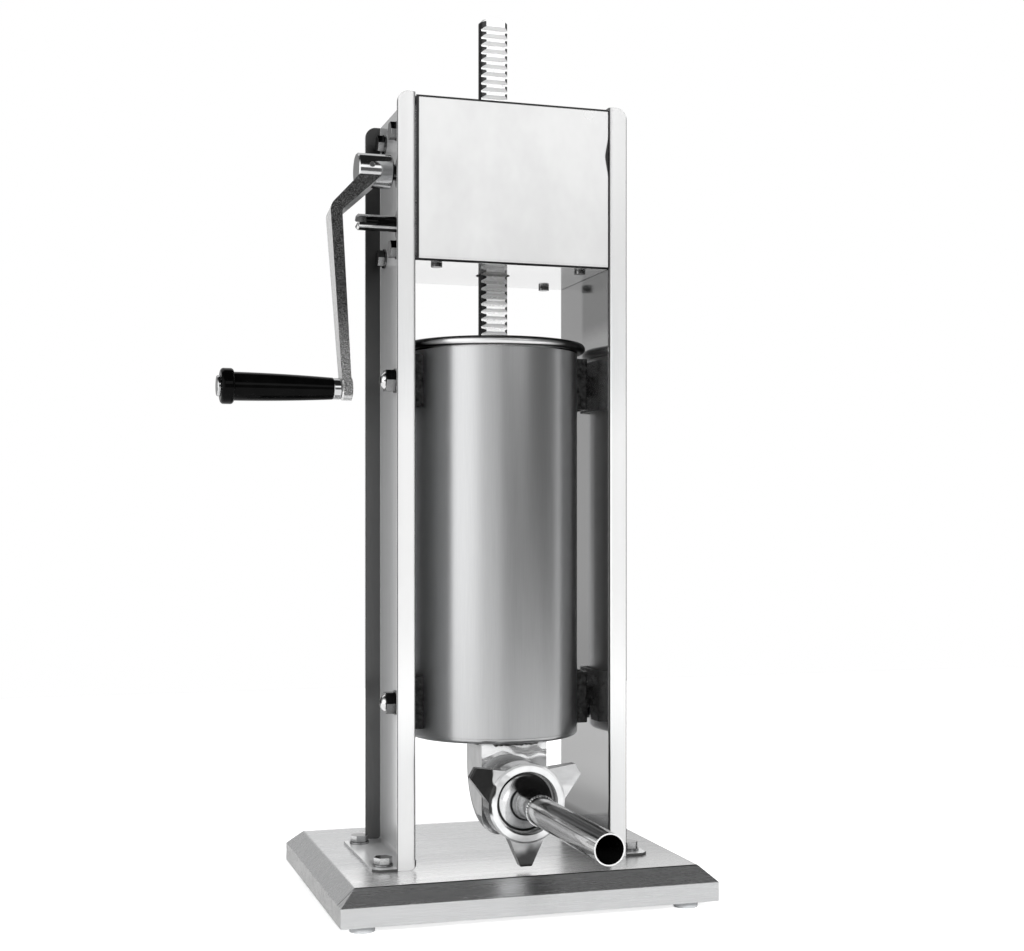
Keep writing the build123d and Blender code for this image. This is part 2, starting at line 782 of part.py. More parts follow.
# Hanging pins: thin head behind the hanger's plate, black bush, web, washer and acorn nut.
pin_spots = [(0, z) for z in pin_heights]
head_depth = web_outer_x - hanger_plate_x + hanger_sheet
pin_length = head_depth + washer_thickness + pin_thread_length
left_head_seat = Plane(
    origin=(axis_x + head_depth - web_outer_x, axis_y, 0), x_dir=(0, 1, 0), z_dir=(1, 0, 0)
)
right_head_seat = Plane(
    origin=(axis_x + web_outer_x - head_depth, axis_y, 0), x_dir=(0, -1, 0), z_dir=(-1, 0, 0)
)
hanging_pins = bolts(
    [(left_head_seat, pin_spots), (right_head_seat, pin_spots)],
    disc(pin_head_radius),
    pin_head,
    pin_radius,
    pin_length,
)
hanging_pins.part.label = "hanging_pins"
export_step(hanging_pins.part, "parts/hanging_pins.step")

pin_bushes = rings(
    [(left_web.offset(-column_sheet), pin_spots), (right_web.offset(-column_sheet), pin_spots)],
    disc(pin_bush_radius),
    pin_radius + running_gap,
    hanger_plate_x - web_x,
)
pin_bushes.part.label = "pin_bushes"
export_step(pin_bushes.part, "parts/pin_bushes.step")

pin_washers = rings(
    [(left_web, pin_spots), (right_web, pin_spots)],
    disc(pin_washer_radius),
    pin_radius + bolt_gap,
    washer_thickness,
)
pin_washers.part.label = "pin_washers"
export_step(pin_washers.part, "parts/pin_washers.step")

left_dome = left_web.offset(washer_thickness + acorn_hex)
right_dome = right_web.offset(washer_thickness + acorn_hex)
with BuildPart(left_dome, right_dome) as acorn_nuts:
    with BuildSketch(left_dome, right_dome):
        with Locations(*pin_spots):
            add(hexagon(acorn_flats))
    extrude(amount=-acorn_hex)
    with Locations(*pin_spots):
        Sphere(acorn_dome, arc_size1=0)
    with BuildSketch(left_dome.offset(-acorn_hex), right_dome.offset(-acorn_hex)):
        with Locations(*pin_spots):
            Circle(pin_radius + running_gap)
    extrude(amount=pin_thread_length + running_gap, mode=Mode.SUBTRACT)
acorn_nuts.part.label = "acorn_nuts"
export_step(acorn_nuts.part, "parts/acorn_nuts.step")

# ==================================================================== outlet
outlet_axis = Axis((axis_x, axis_y, outlet_z), (0, -1, 0))


# The elbow's form seen from the side, or with an inset the passage inside it.
def elbow_form(inset):
    rear = elbow_rear_y - inset
    low = elbow_bottom + inset
    bend = elbow_bend - inset
    front = elbow_front_y + inset
    with BuildPart() as form:
        with BuildSketch(side_on):
            with BuildLine():
                Line((front, cylinder_bottom), (front, low))
                Line((front, low), (rear - bend, low))
                RadiusArc((rear - bend, low), (rear, low + bend), -bend)
                Line((rear, low + bend), (rear, cylinder_bottom))
                Line((rear, cylinder_bottom), (front, cylinder_bottom))
            make_face()
        extrude(amount=elbow_width / 2 - inset, both=True)
        back = form.faces().filter_by(GeomType.CYLINDER)[0]
        rear_face = form.faces().sort_by(Axis.Y)[-1]
        bottom_face = form.faces().sort_by(Axis.Z)[0]
        swept = back.edges() + rear_face.edges() + bottom_face.edges()
        sides = [e for e in swept if abs(abs(e.center().X - axis_x) - elbow_width / 2 + inset) < 0.01]
        fillet(sides, radius=elbow_edge - inset)
    return form


with BuildPart() as outlet_elbow:
    add(elbow_form(0).part)
    add(elbow_form(elbow_wall).part, mode=Mode.SUBTRACT)
    with BuildSketch(front_on.offset(-elbow_front_y)):
        with Locations((0, outlet_z)):
            Circle(spigot_radius - spigot_wall)
    extrude(amount=-2 * elbow_wall, mode=Mode.SUBTRACT)
outlet_elbow.part.label = "outlet_elbow"
export_step(outlet_elbow.part, "parts/outlet_elbow.step")

spigot_front_y = elbow_front_y - spigot_length
with BuildPart() as outlet_spigot:
    with BuildSketch(front_on.offset(-elbow_front_y)):
        with Locations((0, outlet_z)):
            Circle(spigot_radius)
            Circle(spigot_radius - spigot_wall, mode=Mode.SUBTRACT)
    extrude(amount=spigot_length)
    chamfer(outlet_spigot.edges().group_by(Axis.Y)[0].sort_by(SortBy.LENGTH)[-1], length=spigot_edge)
outlet_spigot.part.label = "outlet_spigot"
export_step(outlet_spigot.part, "parts/outlet_spigot.step")

gasket_front_y = spigot_front_y - seat_gap - gasket_thickness
with BuildPart() as tube_gasket:
    with BuildSketch(front_on.offset(-gasket_front_y)):
        with Locations((0, outlet_z)):
            Circle(flare_radius)
            Circle(spigot_radius - spigot_wall - gasket_thickness, mode=Mode.SUBTRACT)
    extrude(amount=-gasket_thickness)
tube_gasket.part.label = "tube_gasket"
export_step(tube_gasket.part, "parts/tube_gasket.step")

# A spun funnel: the wing nut presses its flange on the gasket, and its neck carries the tube.
flange_middle_y = gasket_front_y - flare_wall / 2
neck_radius = tube_radius - tube_wall + neck_seat - running_gap - flare_wall / 2
with BuildPart() as tube_funnel:
    with BuildSketch(side_on):
        with BuildLine():
            FilletPolyline(
                (flange_middle_y, outlet_z + flare_radius),
                (flange_middle_y, outlet_z + neck_radius),
                (tube_rear_y - neck_length + body_gap, outlet_z + neck_radius),
                radius=flare_bend - flare_wall,
            )
        trace(line_width=flare_wall)
    revolve(axis=outlet_axis)
tube_funnel.part.label = "tube_funnel"
export_step(tube_funnel.part, "parts/tube_funnel.step")

with BuildPart() as stuffing_tube:
    with BuildSketch(front_on.offset(-tube_rear_y)):
        with Locations((0, outlet_z)):
            Circle(tube_radius)
            Circle(tube_radius - tube_wall, mode=Mode.SUBTRACT)
    extrude(amount=tube_rear_y - tube_front_y)
    with BuildSketch(front_on.offset(-tube_rear_y)):
        with Locations((0, outlet_z)):
            Circle(tube_radius - tube_wall + neck_seat)
    extrude(amount=neck_length, mode=Mode.SUBTRACT)
stuffing_tube.part.label = "stuffing_tube"
export_step(stuffing_tube.part, "parts/stuffing_tube.step")

nut_front_y = gasket_front_y - flare_wall - seat_gap - nut_lip
with BuildPart() as nut_body:
    with BuildSketch(front_on.offset(-nut_front_y)):
        with Locations((0, outlet_z)):
            Circle(nut_radius)
    extrude(amount=-nut_length)
    chamfer(nut_body.edges(), length=nut_edge)

with BuildPart() as wing_nut:
    for angle in (30, 150, 270):
        outward = (cos(radians(angle)), 0, sin(radians(angle)))
        lobe = Plane(
            origin=(axis_x, axis_y + nut_front_y + lobe_middle, outlet_z), x_dir=(0, 1, 0), z_dir=outward
        )
        with BuildSketch(lobe.offset(nut_hole_radius)):
            Rectangle(lobe_root_depth, lobe_root_width)
        with BuildSketch(lobe.offset(lobe_reach)):
            Rectangle(lobe_tip_depth, lobe_tip_width)
        loft()
    fillet(wing_nut.edges().filter_by(GeomType.LINE), radius=lobe_edge)
    add(nut_body.part)
    with BuildSketch(front_on.offset(-nut_front_y)):
        with Locations((0, outlet_z)):
            Circle(nut_hole_radius)
    extrude(amount=-nut_length, mode=Mode.SUBTRACT)
    with BuildSketch(front_on.offset(-nut_front_y - nut_lip)):
        with Locations((0, outlet_z)):
            Circle(spigot_radius + body_gap)
    extrude(amount=nut_lip - nut_length, mode=Mode.SUBTRACT)
wing_nut.part.label = "wing_nut"
export_step(wing_nut.part, "parts/wing_nut.step")

# ============================================================ rack and piston
# A round bar, milled flat in front; the tooth gaps run out to points on its round sides.
tooth_thickness = rack_pitch / 2 - backlash / 2
gap_tip = rack_pitch - tooth_thickness + 2 * rack_module * tan(pressure_angle)
gap_root = rack_pitch - tooth_thickness - 2 * tooth_dedendum * rack_module * tan(pressure_angle)
tooth_root_y = rack_datum_y + tooth_dedendum * rack_module
first_gap = int((rack_bottom + rack_plain_bottom - fast_shaft_z) / rack_pitch)
last_gap = int((rack_top - rack_plain_top - fast_shaft_z) / rack_pitch)
gap_heights = [fast_shaft_z + rack_pitch * count for count in range(first_gap, last_gap + 1)]
with BuildPart() as rack_bar:
    with BuildSketch(level.offset(rack_bottom)):
        Circle(rack_radius)
    extrude(amount=rack_top - rack_bottom)
    chamfer(rack_bar.edges().group_by(Axis.Z)[-1], length=rack_chamfer)
    with BuildSketch(side_on):
        with Locations((-rack_radius, (rack_bottom + rack_plain_bottom + rack_top) / 2)):
            Rectangle(2 * (rack_radius - rack_flat), rack_top - rack_bottom - rack_plain_bottom)
        with Locations(*[(-rack_flat, z) for z in gap_heights]):
            Polygon(
                (-rack_module, gap_tip / 2 + rack_module * tan(pressure_angle)),
                (tooth_root_y + rack_flat, gap_root / 2),
                (tooth_root_y + rack_flat, -gap_root / 2),
                (-rack_module, -gap_tip / 2 - rack_module * tan(pressure_angle)),
            )
    extrude(amount=rack_radius, both=True, mode=Mode.SUBTRACT)
    with BuildSketch(level.offset(rack_bottom)):
        Circle(piston_spigot_radius)
    extrude(amount=-piston_thickness + piston_recess_depth)
    with BuildSketch(level.offset(piston_bottom)):
        Circle(piston_screw_radius)
    extrude(amount=piston_recess_depth + piston_screw_length, mode=Mode.SUBTRACT)
rack_bar.part.label = "rack_bar"
export_step(rack_bar.part, "parts/rack_bar.step")

piston_radius = cylinder_bore - piston_rim_gap
seal_bottom = piston_bottom + (piston_thickness - seal_height) / 2
with BuildPart() as piston_disc:
    with BuildSketch(level.offset(piston_bottom)):
        Circle(piston_radius)
    extrude(amount=piston_thickness)
    with BuildSketch(level.offset(rack_bottom)):
        Circle(piston_boss_radius)
    extrude(amount=piston_boss_height)
    fillet(piston_disc.edges().filter_by(GeomType.CIRCLE).group_by(Axis.Z)[1], radius=piston_edge)
    with BuildSketch(level.offset(rack_bottom)):
        Circle(rack_radius + running_gap)
    extrude(amount=piston_boss_height, mode=Mode.SUBTRACT)
    with BuildSketch(level.offset(piston_bottom)):
        Circle(piston_spigot_radius + running_gap)
    extrude(amount=piston_thickness, mode=Mode.SUBTRACT)
    with BuildSketch(level.offset(piston_bottom)):
        Circle(piston_washer_radius + bolt_gap)
    extrude(amount=piston_recess_depth, mode=Mode.SUBTRACT)
    with BuildSketch(level.offset(seal_bottom)):
        Circle(piston_radius + seal_depth)
        Circle(piston_radius - seal_depth, mode=Mode.SUBTRACT)
    extrude(amount=seal_height, mode=Mode.SUBTRACT)
    with BuildSketch(level.offset(piston_bottom)):
        with Locations((valve_x, 0)):
            Circle(valve_radius + body_gap)
    extrude(amount=piston_thickness, mode=Mode.SUBTRACT)
    with BuildSketch(level.offset(piston_bottom)):
        with Locations((valve_x, 0)):
            Circle(valve_foot_radius + body_gap)
    extrude(amount=valve_foot + valve_travel + 2 * body_gap, mode=Mode.SUBTRACT)
piston_disc.part.label = "piston_disc"
export_step(piston_disc.part, "parts/piston_disc.step")

# The seal's lip leans outward to just short of the bore.
with BuildPart() as piston_seal:
    with BuildSketch(front_on):
        with BuildLine():
            Polyline(
                (piston_radius - seal_depth, seal_bottom),
                (piston_radius, seal_bottom),
                (cylinder_bore - body_gap, seal_bottom + seal_height / 4),
                (cylinder_bore - body_gap, seal_bottom + seal_height * 3 / 4),
                (piston_radius, seal_bottom + seal_height),
                (piston_radius - seal_depth, seal_bottom + seal_height),
                close=True,
            )
        make_face()
    revolve(axis=cylinder_axis)
piston_seal.part.label = "piston_seal"
export_step(piston_seal.part, "parts/piston_seal.step")

recess_top = piston_bottom + piston_recess_depth
below_recess = Plane(
    origin=(axis_x, axis_y, recess_top - piston_washer_thickness), x_dir=(1, 0, 0), z_dir=(0, 0, -1)
)
piston_washer = rings(
    [(below_recess.offset(-piston_washer_thickness), [(0, 0)])],
    disc(piston_washer_radius),
    piston_screw_radius + bolt_gap,
    piston_washer_thickness,
)
piston_washer.part.label = "piston_washer"
export_step(piston_washer.part, "parts/piston_washer.step")

piston_screw = bolts(
    [(below_recess, [(0, 0)])],
    hexagon(bolt_flats),
    piston_screw_head,
    piston_screw_radius - running_gap,
    piston_washer_thickness + piston_screw_length - piston_screw_play,
)
piston_screw.part.label = "piston_screw"
export_step(piston_screw.part, "parts/piston_screw.step")

# Air release valve: it lies on the piston by its weight and lifts as the air is pressed out.
with BuildPart() as air_valve:
    with BuildSketch(level.offset(rack_bottom)):
        with Locations((valve_x, 0)):
            Circle(valve_head_radius)
    extrude(amount=valve_head)
    fillet(air_valve.edges().group_by(Axis.Z)[-1], radius=valve_head / 3)
    with BuildSketch(level.offset(rack_bottom)):
        with Locations((valve_x, 0)):
            Circle(valve_radius)
    extrude(amount=-piston_thickness + body_gap + valve_foot)
    with BuildSketch(level.offset(piston_bottom + body_gap)):
        with Locations((valve_x, 0)):
            Circle(valve_foot_radius)
    extrude(amount=valve_foot)
air_valve.part.label = "air_valve"
export_step(air_valve.part, "parts/air_valve.step")

# ================================================================ gear train
# Both shafts have a stepped left end with a slot across it for the crank's pin.
shaft_step_x = web_outer_x + shaft_bush_flange + shaft_step
right_end_x = web_x - shaft_end_gap
large_gear_hub_x = large_gear_x + (large_gear_width + gear_hub_length) / 2
pinion_hub_x = (pinion_width + pinion_hub_length) / 2
small_pinion_hub_x = large_gear_x + (small_pinion_width + pinion_hub_length) / 2
ring_spots_x = (
    body_gap - cheek_inner_x,
    cheek_inner_x - shaft_bush_flange - body_gap - ring_thickness,
)
for name, shaft_z, left_x, pin_spots_x in (
    ("fast_shaft", fast_shaft_z, fast_shaft_left, (large_gear_hub_x, pinion_hub_x)),
    ("slow_shaft", slow_shaft_z, slow_shaft_left, (small_pinion_hub_x,)),
):
    with BuildPart() as shaft:
        with BuildSketch(across(-shaft_step_x, shaft_y, shaft_z)):
            Circle(shaft_radius)
        extrude(amount=shaft_step_x + right_end_x)
        with BuildSketch(across(-left_x, shaft_y, shaft_z)):
            Circle(shaft_end_radius)
        extrude(amount=left_x)
        chamfer(shaft.edges().group_by(Axis.X)[0], length=shaft_chamfer)
        with BuildSketch(across(-left_x, shaft_y, shaft_z, degrees(-crank_swing))):
            Rectangle(3 * shaft_end_radius, shaft_slot_width)
        extrude(amount=shaft_slot_depth, mode=Mode.SUBTRACT)
        for pin_x in pin_spots_x:
            with BuildSketch(level.offset(shaft_z)):
                with Locations((pin_x, shaft_y)):
                    Circle(gear_pin_radius + running_gap)
            extrude(amount=2 * shaft_radius, both=True, mode=Mode.SUBTRACT)
        for ring_x in ring_spots_x:
            with BuildSketch(across(ring_x, shaft_y, shaft_z)):
                Circle(shaft_radius * 2)
                Circle(shaft_radius - ring_groove, mode=Mode.SUBTRACT)
            extrude(amount=ring_thickness, mode=Mode.SUBTRACT)
    shaft.part.label = name
    export_step(shaft.part, f"parts/{name}.step")

    with BuildPart() as shaft_rings:
        for ring_x in ring_spots_x:
            with BuildSketch(across(ring_x + groove_play, shaft_y, shaft_z)):
                Circle(ring_radius)
                Circle(shaft_radius - ring_groove + running_gap, mode=Mode.SUBTRACT)
                with Locations((0, ring_radius)):
                    Rectangle(shaft_radius, 2 * ring_radius, mode=Mode.SUBTRACT)
            extrude(amount=ring_thickness - 2 * groove_play)
    shaft_rings.part.label = f"{name}_rings"
    export_step(shaft_rings.part, f"parts/{name}_rings.step")


# A gear on a shaft: the toothed wheel and a hub beside it, bored and drilled for its pin.
def gear_wheel(outline, x, width, hub_radius, hub_length, shaft_z, angle):
    with BuildPart() as gear:
        with BuildSketch(across(x - width / 2, shaft_y, shaft_z, angle)):
            add(outline)
        extrude(amount=width)
        with BuildSketch(across(x + width / 2, shaft_y, shaft_z)):
            Circle(hub_radius)
        extrude(amount=hub_length)
        with BuildSketch(across(x - width, shaft_y, shaft_z)):
            Circle(shaft_radius + running_gap)
        extrude(amount=3 * width + hub_length, mode=Mode.SUBTRACT)
        with BuildSketch(level.offset(shaft_z)):
            with Locations((x + (width + hub_length) / 2, shaft_y)):
                Circle(gear_pin_radius + running_gap)
        extrude(amount=2 * hub_radius, both=True, mode=Mode.SUBTRACT)
    return gear


pinion_root_radius = pinion_radius - rack_module * (tooth_dedendum - profile_shift)
small_root_radius = small_radius - gear_module * (tooth_dedendum - profile_shift)
rack_pinion = gear_wheel(
    gear_outline(pinion_teeth, rack_module, profile_shift),
    0,
    pinion_width,
    pinion_root_radius,
    pinion_hub_length,
    fast_shaft_z,
    0,
)
rack_pinion.part.label = "rack_pinion"
export_step(rack_pinion.part, "parts/rack_pinion.step")

large_gear = gear_wheel(
    gear_outline(large_teeth, gear_module, -profile_shift),
    large_gear_x,
    large_gear_width,
    gear_hub_radius,
    gear_hub_length,
    fast_shaft_z,
    -90,
)
large_gear.part.label = "large_gear"
export_step(large_gear.part, "parts/large_gear.step")

small_pinion = gear_wheel(
    gear_outline(small_teeth, gear_module, profile_shift),
    large_gear_x,
    small_pinion_width,
    small_root_radius,
    pinion_hub_length,
    slow_shaft_z,
    90 + 180 / small_teeth,
)
small_pinion.part.label = "small_pinion"
export_step(small_pinion.part, "parts/small_pinion.step")


def gear_pins(spots, length):
    with BuildPart() as pins:
        for pin_x, shaft_z in spots:
            with BuildSketch(level.offset(shaft_z)):
                with Locations((pin_x, shaft_y)):
                    Circle(gear_pin_radius)
            extrude(amount=length / 2, both=True)
    return pins


fast_gear_pins = gear_pins(
    [(large_gear_hub_x, fast_shaft_z), (pinion_hub_x, fast_shaft_z)], 2 * pinion_root_radius
)
fast_gear_pins.part.label = "fast_gear_pins"
export_step(fast_gear_pins.part, "parts/fast_gear_pins.step")

slow_gear_pin = gear_pins([(small_pinion_hub_x, slow_shaft_z)], 2 * small_root_radius)
slow_gear_pin.part.label = "slow_gear_pin"
export_step(slow_gear_pin.part, "parts/slow_gear_pin.step")

# ===================================================================== crank
# Drawn on the plane through the fast shaft's axis and the hanging arm, seen from the front.
crank_plane = Plane(
    origin=(axis_x, axis_y + shaft_y, fast_shaft_z),
    x_dir=(1, 0, 0),
    z_dir=(0, -cos(crank_swing), sin(crank_swing)),
)
grip_y = shaft_y - crank_reach * sin(crank_swing)
grip_z = fast_shaft_z - crank_reach * cos(crank_swing)
hub_outer_x = hub_inner_x + hub_length
hub_pin_x = fast_shaft_left - shaft_slot_depth + hub_pin_radius + running_gap
hub_bottom_x = hub_outer_x - hub_wall

with BuildPart() as crank_hub:
    with BuildSketch(across(-hub_outer_x, shaft_y, fast_shaft_z)):
        Circle(hub_radius)
    extrude(amount=hub_length)
    chamfer(crank_hub.edges().filter_by(GeomType.CIRCLE), length=hub_chamfer)
    with BuildSketch(across(-hub_bottom_x, shaft_y, fast_shaft_z)):
        Circle(shaft_end_radius + running_gap)
    extrude(amount=hub_length, mode=Mode.SUBTRACT)
    with BuildSketch(crank_plane):
        with Locations((-hub_pin_x, 0)):
            Circle(hub_pin_radius + running_gap)
    extrude(amount=hub_radius, both=True, mode=Mode.SUBTRACT)
crank_hub.part.label = "crank_hub"
export_step(crank_hub.part, "parts/crank_hub.step")

with BuildPart() as hub_pin:
    with BuildSketch(crank_plane):
        with Locations((-hub_pin_x, 0)):
            Circle(hub_pin_radius)
    extrude(amount=hub_radius - body_gap, both=True)
hub_pin.part.label = "hub_pin"
export_step(hub_pin.part, "parts/hub_pin.step")


# The arm's edge at one side of its middle line, from root to tip.
def arm_side(side):
    slant = atan2(arm_bend_x - arm_root_x, arm_bend_drop)
    lower = atan2(arm_tip_x - arm_bend_x, crank_reach - arm_bend_drop)
    half = (slant + lower) / 2
    reach = arm_bend_width / 2 / cos((slant - lower) / 2)
    return [
        (-arm_root_x + side * arm_root_width / 2 * cos(slant), -side * arm_root_width / 2 * sin(slant)),
        (-arm_bend_x + side * reach * cos(half), -arm_bend_drop - side * reach * sin(half)),
        (-arm_tip_x + side * arm_tip_width / 2, -crank_reach),
    ]


with BuildPart() as spindle_boss:
    with BuildSketch(across(-boss_outer_x, grip_y, grip_z)):
        Circle(boss_radius)
    extrude(amount=boss_length)
    chamfer(spindle_boss.edges().group_by(Axis.X)[0], length=boss_edge)

# The arm is deepest at its root, as seen from the side.
arm_profile = Plane(
    origin=(axis_x, axis_y + shaft_y, fast_shaft_z),
    x_dir=(0, cos(crank_swing), -sin(crank_swing)),
    z_dir=(1, 0, 0),
)
with BuildPart() as crank_arm:
    with BuildSketch(crank_plane) as arm_outline:
        with BuildLine():
            FilletPolyline(*arm_side(-1), radius=arm_bend_radius)
            FilletPolyline(*arm_side(1), radius=arm_bend_radius / 3)
            Line(arm_side(-1)[0], arm_side(1)[0])
            Line(arm_side(-1)[2], arm_side(1)[2])
        make_face()
    extrude(amount=arm_root_depth, both=True)
    with BuildSketch(arm_profile):
        with BuildLine():
            Polyline(
                (-arm_root_depth / 2, arm_root_width),
                (-arm_root_depth / 2, 0),
                (-arm_tip_depth / 2, -crank_reach),
                (arm_tip_depth / 2, -crank_reach),
                (arm_root_depth / 2, 0),
                (arm_root_depth / 2, arm_root_width),
                close=True,
            )
        make_face()
    extrude(amount=arm_bend_x + arm_bend_width, both=True, mode=Mode.INTERSECT)
    add(spindle_boss.part)
    with BuildSketch(across(-boss_outer_x, grip_y, grip_z)):
        Circle(spindle_radius + running_gap)
    extrude(amount=boss_length, mode=Mode.SUBTRACT)
    with BuildSketch(across(-hub_outer_x, shaft_y, fast_shaft_z)):
        Circle(hub_radius)
    extrude(amount=hub_length, mode=Mode.SUBTRACT)
crank_arm.part.label = "crank_arm"
export_step(crank_arm.part, "parts/crank_arm.step")

# Grip: a bright ferrule, the black taper and its end cap turn together on a headed spindle.
grip_axis = Axis((axis_x, axis_y + grip_y, grip_z), (1, 0, 0))
ferrule_x = boss_outer_x + body_gap
grip_x = ferrule_x + ferrule_length
cap_x = grip_x + grip_length
with BuildPart() as grip_spindle:
    with BuildSketch(across(-spindle_end_x, grip_y, grip_z)):
        Circle(spindle_radius)
    extrude(amount=spindle_end_x - boss_outer_x + boss_length)
    with BuildSketch(across(-spindle_end_x, grip_y, grip_z)):
        Circle(spindle_head_radius)
    extrude(amount=-spindle_head)
    fillet(grip_spindle.edges().group_by(Axis.X)[0], radius=spindle_head / 2)
grip_spindle.part.label = "grip_spindle"
export_step(grip_spindle.part, "parts/grip_spindle.step")

with BuildPart() as grip_ferrule:
    with BuildSketch(across(-grip_x, grip_y, grip_z)):
        Circle(ferrule_radius)
        Circle(spindle_radius + body_gap, mode=Mode.SUBTRACT)
    extrude(amount=ferrule_length)
    fillet(
        grip_ferrule.edges().filter_by(GeomType.CIRCLE).sort_by(SortBy.LENGTH)[-2:], radius=ferrule_edge
    )
grip_ferrule.part.label = "grip_ferrule"
export_step(grip_ferrule.part, "parts/grip_ferrule.step")

grip_plane = Plane(origin=(axis_x, axis_y + grip_y, grip_z), x_dir=(-1, 0, 0), z_dir=(0, 1, 0))
with BuildPart() as crank_grip:
    with BuildSketch(grip_plane):
        with BuildLine():
            Line((grip_x, spindle_radius + body_gap), (grip_x, grip_thin_radius))
            ThreePointArc(
                (grip_x, grip_thin_radius),
                (grip_x + grip_length / 2, (grip_thin_radius + grip_thick_radius) / 2 + grip_crown),
                (cap_x, grip_thick_radius),
            )
            Polyline(
                (cap_x, grip_thick_radius),
                (cap_x, spindle_radius + body_gap),
                (grip_x, spindle_radius + body_gap),
            )
        make_face()
    revolve(axis=grip_axis)
crank_grip.part.label = "crank_grip"
export_step(crank_grip.part, "parts/crank_grip.step")

with BuildPart() as grip_cap:
    with BuildSketch(across(-cap_x, grip_y, grip_z)):
        Circle(cap_radius)
        Circle(spindle_radius + body_gap, mode=Mode.SUBTRACT)
    extrude(amount=-cap_length)
    fillet(grip_cap.edges().filter_by(GeomType.CIRCLE).sort_by(SortBy.LENGTH)[-2:], radius=cap_edge)
grip_cap.part.label = "grip_cap"
export_step(grip_cap.part, "parts/grip_cap.step")
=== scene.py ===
import math
import bpy
import bmesh
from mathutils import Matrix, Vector, noise


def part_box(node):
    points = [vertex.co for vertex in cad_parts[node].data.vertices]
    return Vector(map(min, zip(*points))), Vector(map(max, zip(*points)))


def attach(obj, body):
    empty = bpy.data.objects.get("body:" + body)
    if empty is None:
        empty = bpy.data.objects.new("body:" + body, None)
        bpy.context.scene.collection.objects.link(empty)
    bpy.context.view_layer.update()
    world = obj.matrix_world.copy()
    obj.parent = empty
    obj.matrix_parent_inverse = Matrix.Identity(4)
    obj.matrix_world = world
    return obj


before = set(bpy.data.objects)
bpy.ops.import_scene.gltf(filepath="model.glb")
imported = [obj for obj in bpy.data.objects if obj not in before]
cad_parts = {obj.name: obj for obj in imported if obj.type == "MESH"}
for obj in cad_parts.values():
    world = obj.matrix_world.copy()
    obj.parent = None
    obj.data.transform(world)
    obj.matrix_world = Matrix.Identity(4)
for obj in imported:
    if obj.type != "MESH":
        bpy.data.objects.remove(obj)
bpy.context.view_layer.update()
barrelLow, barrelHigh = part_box("cylinder_barrel")
axisX = (barrelLow.x + barrelHigh.x) / 2  # the cylinder's axis
axisY = (barrelLow.y + barrelHigh.y) / 2
print("frame loaded:", len(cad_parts), "nodes")

# small helpers for node trees

def addNode(tree, kind, values={}, **settings):
    node = tree.nodes.new(kind)
    for name, value in settings.items():
        setattr(node, name, value)
    for socket, value in values.items():
        node.inputs[socket].default_value = value
    return node


def link(tree, source, target):
    tree.links.new(source, target)


def mathNode(tree, operation, first, second=None):
    node = addNode(tree, "ShaderNodeMath", operation=operation)
    for index, value in enumerate((first, second)):
        if value is None:
            continue
        if isinstance(value, (int, float)):
            node.inputs[index].default_value = value
        else:
            link(tree, value, node.inputs[index])
    return node.outputs[0]


def times(tree, first, second):
    return mathNode(tree, "MULTIPLY", first, second)


def either(tree, first, second):
    return mathNode(tree, "MAXIMUM", first, second)


def smoothStep(tree, value, start, end, low=0.0, high=1.0):
    values = {1: start, 2: end, 3: low, 4: high}
    node = addNode(tree, "ShaderNodeMapRange", values, interpolation_type="SMOOTHSTEP")
    link(tree, value, node.inputs[0])
    return node.outputs[0]


def window(tree, value, low, high, soft):
    rise = smoothStep(tree, value, low - soft / 2, low + soft / 2)
    fall = smoothStep(tree, value, high - soft / 2, high + soft / 2, 1.0, 0.0)
    return times(tree, rise, fall)


# camera, floor and light

camera = {
    "left": 0.3683,  # from the cylinder's axis
    "front": 1.2576,
    "height": 0.3037,
    "turn": 17.205,
    "lens": 55.5,
    "sensor": 36,
    "shiftX": -0.0049,
    "shiftY": 0.047,
    "farthest": 50,
}

studio = {
    "floorSize": 3.2,
    "floorColour": 0.94,
    "floorRoughness": 0.7,
    "floorGlow": 0.7,
    "mirroredGlow": 0.2,
    "dark": 0.11,
    "seen": 1.0,  # brightness of the backdrop itself
    "turn": 17.205,  # degrees from the front to the middle of the light panels
    "panels": [  # azimuth and elevation in degrees, edges blurred over soft degrees
        {"azimuth": (-400, 400), "elevation": (-90, -1), "soft": 4, "strength": 0.85},
        {"azimuth": (-400, 400), "elevation": (34, 100), "soft": 6, "strength": 0.02},
        {"azimuth": (-166, -116), "elevation": (-60, 70), "soft": 6, "strength": 0.85},
        {"azimuth": (-166, -140), "elevation": (-60, 27), "soft": 6, "strength": 0.5},
        {"azimuth": (-140, -116), "elevation": (-60, 27), "soft": 6, "strength": 0.04},
        {"azimuth": (-116, -92), "elevation": (-60, 50), "soft": 10, "strength": 0.12},
        {"azimuth": (-89, -14), "elevation": (-17, 31), "soft": 30, "strength": 1.4},
        {"azimuth": (-16, 14), "elevation": (-17, 31), "soft": 9, "strength": 0.66},
        {"azimuth": (14, 96), "elevation": (-14, 9), "soft": 5, "strength": 0.13},
        {"azimuth": (22, 50), "elevation": (9.5, 26), "soft": 3, "strength": 1.3},
        {"azimuth": (97, 130), "elevation": (-17, 45), "soft": 10, "strength": 0.8},
    ],
    "backFrom": (160, 170),  # degrees either side of the middle
    "backTop": (54, 70),
    "backStrength": 1.0,
    "backBand": (-2, 8),
    "bandSoft": 2,
    "bandStrength": 0.3,
}
lamps = {  # azimuth from the front to the right, both unseen in reflections
    "frontLamp": {"azimuth": 0, "elevation": 24, "angle": 10, "strength": 3.5},
    "leftLamp": {"azimuth": -80, "elevation": 20, "angle": 40, "strength": 0.55},
}


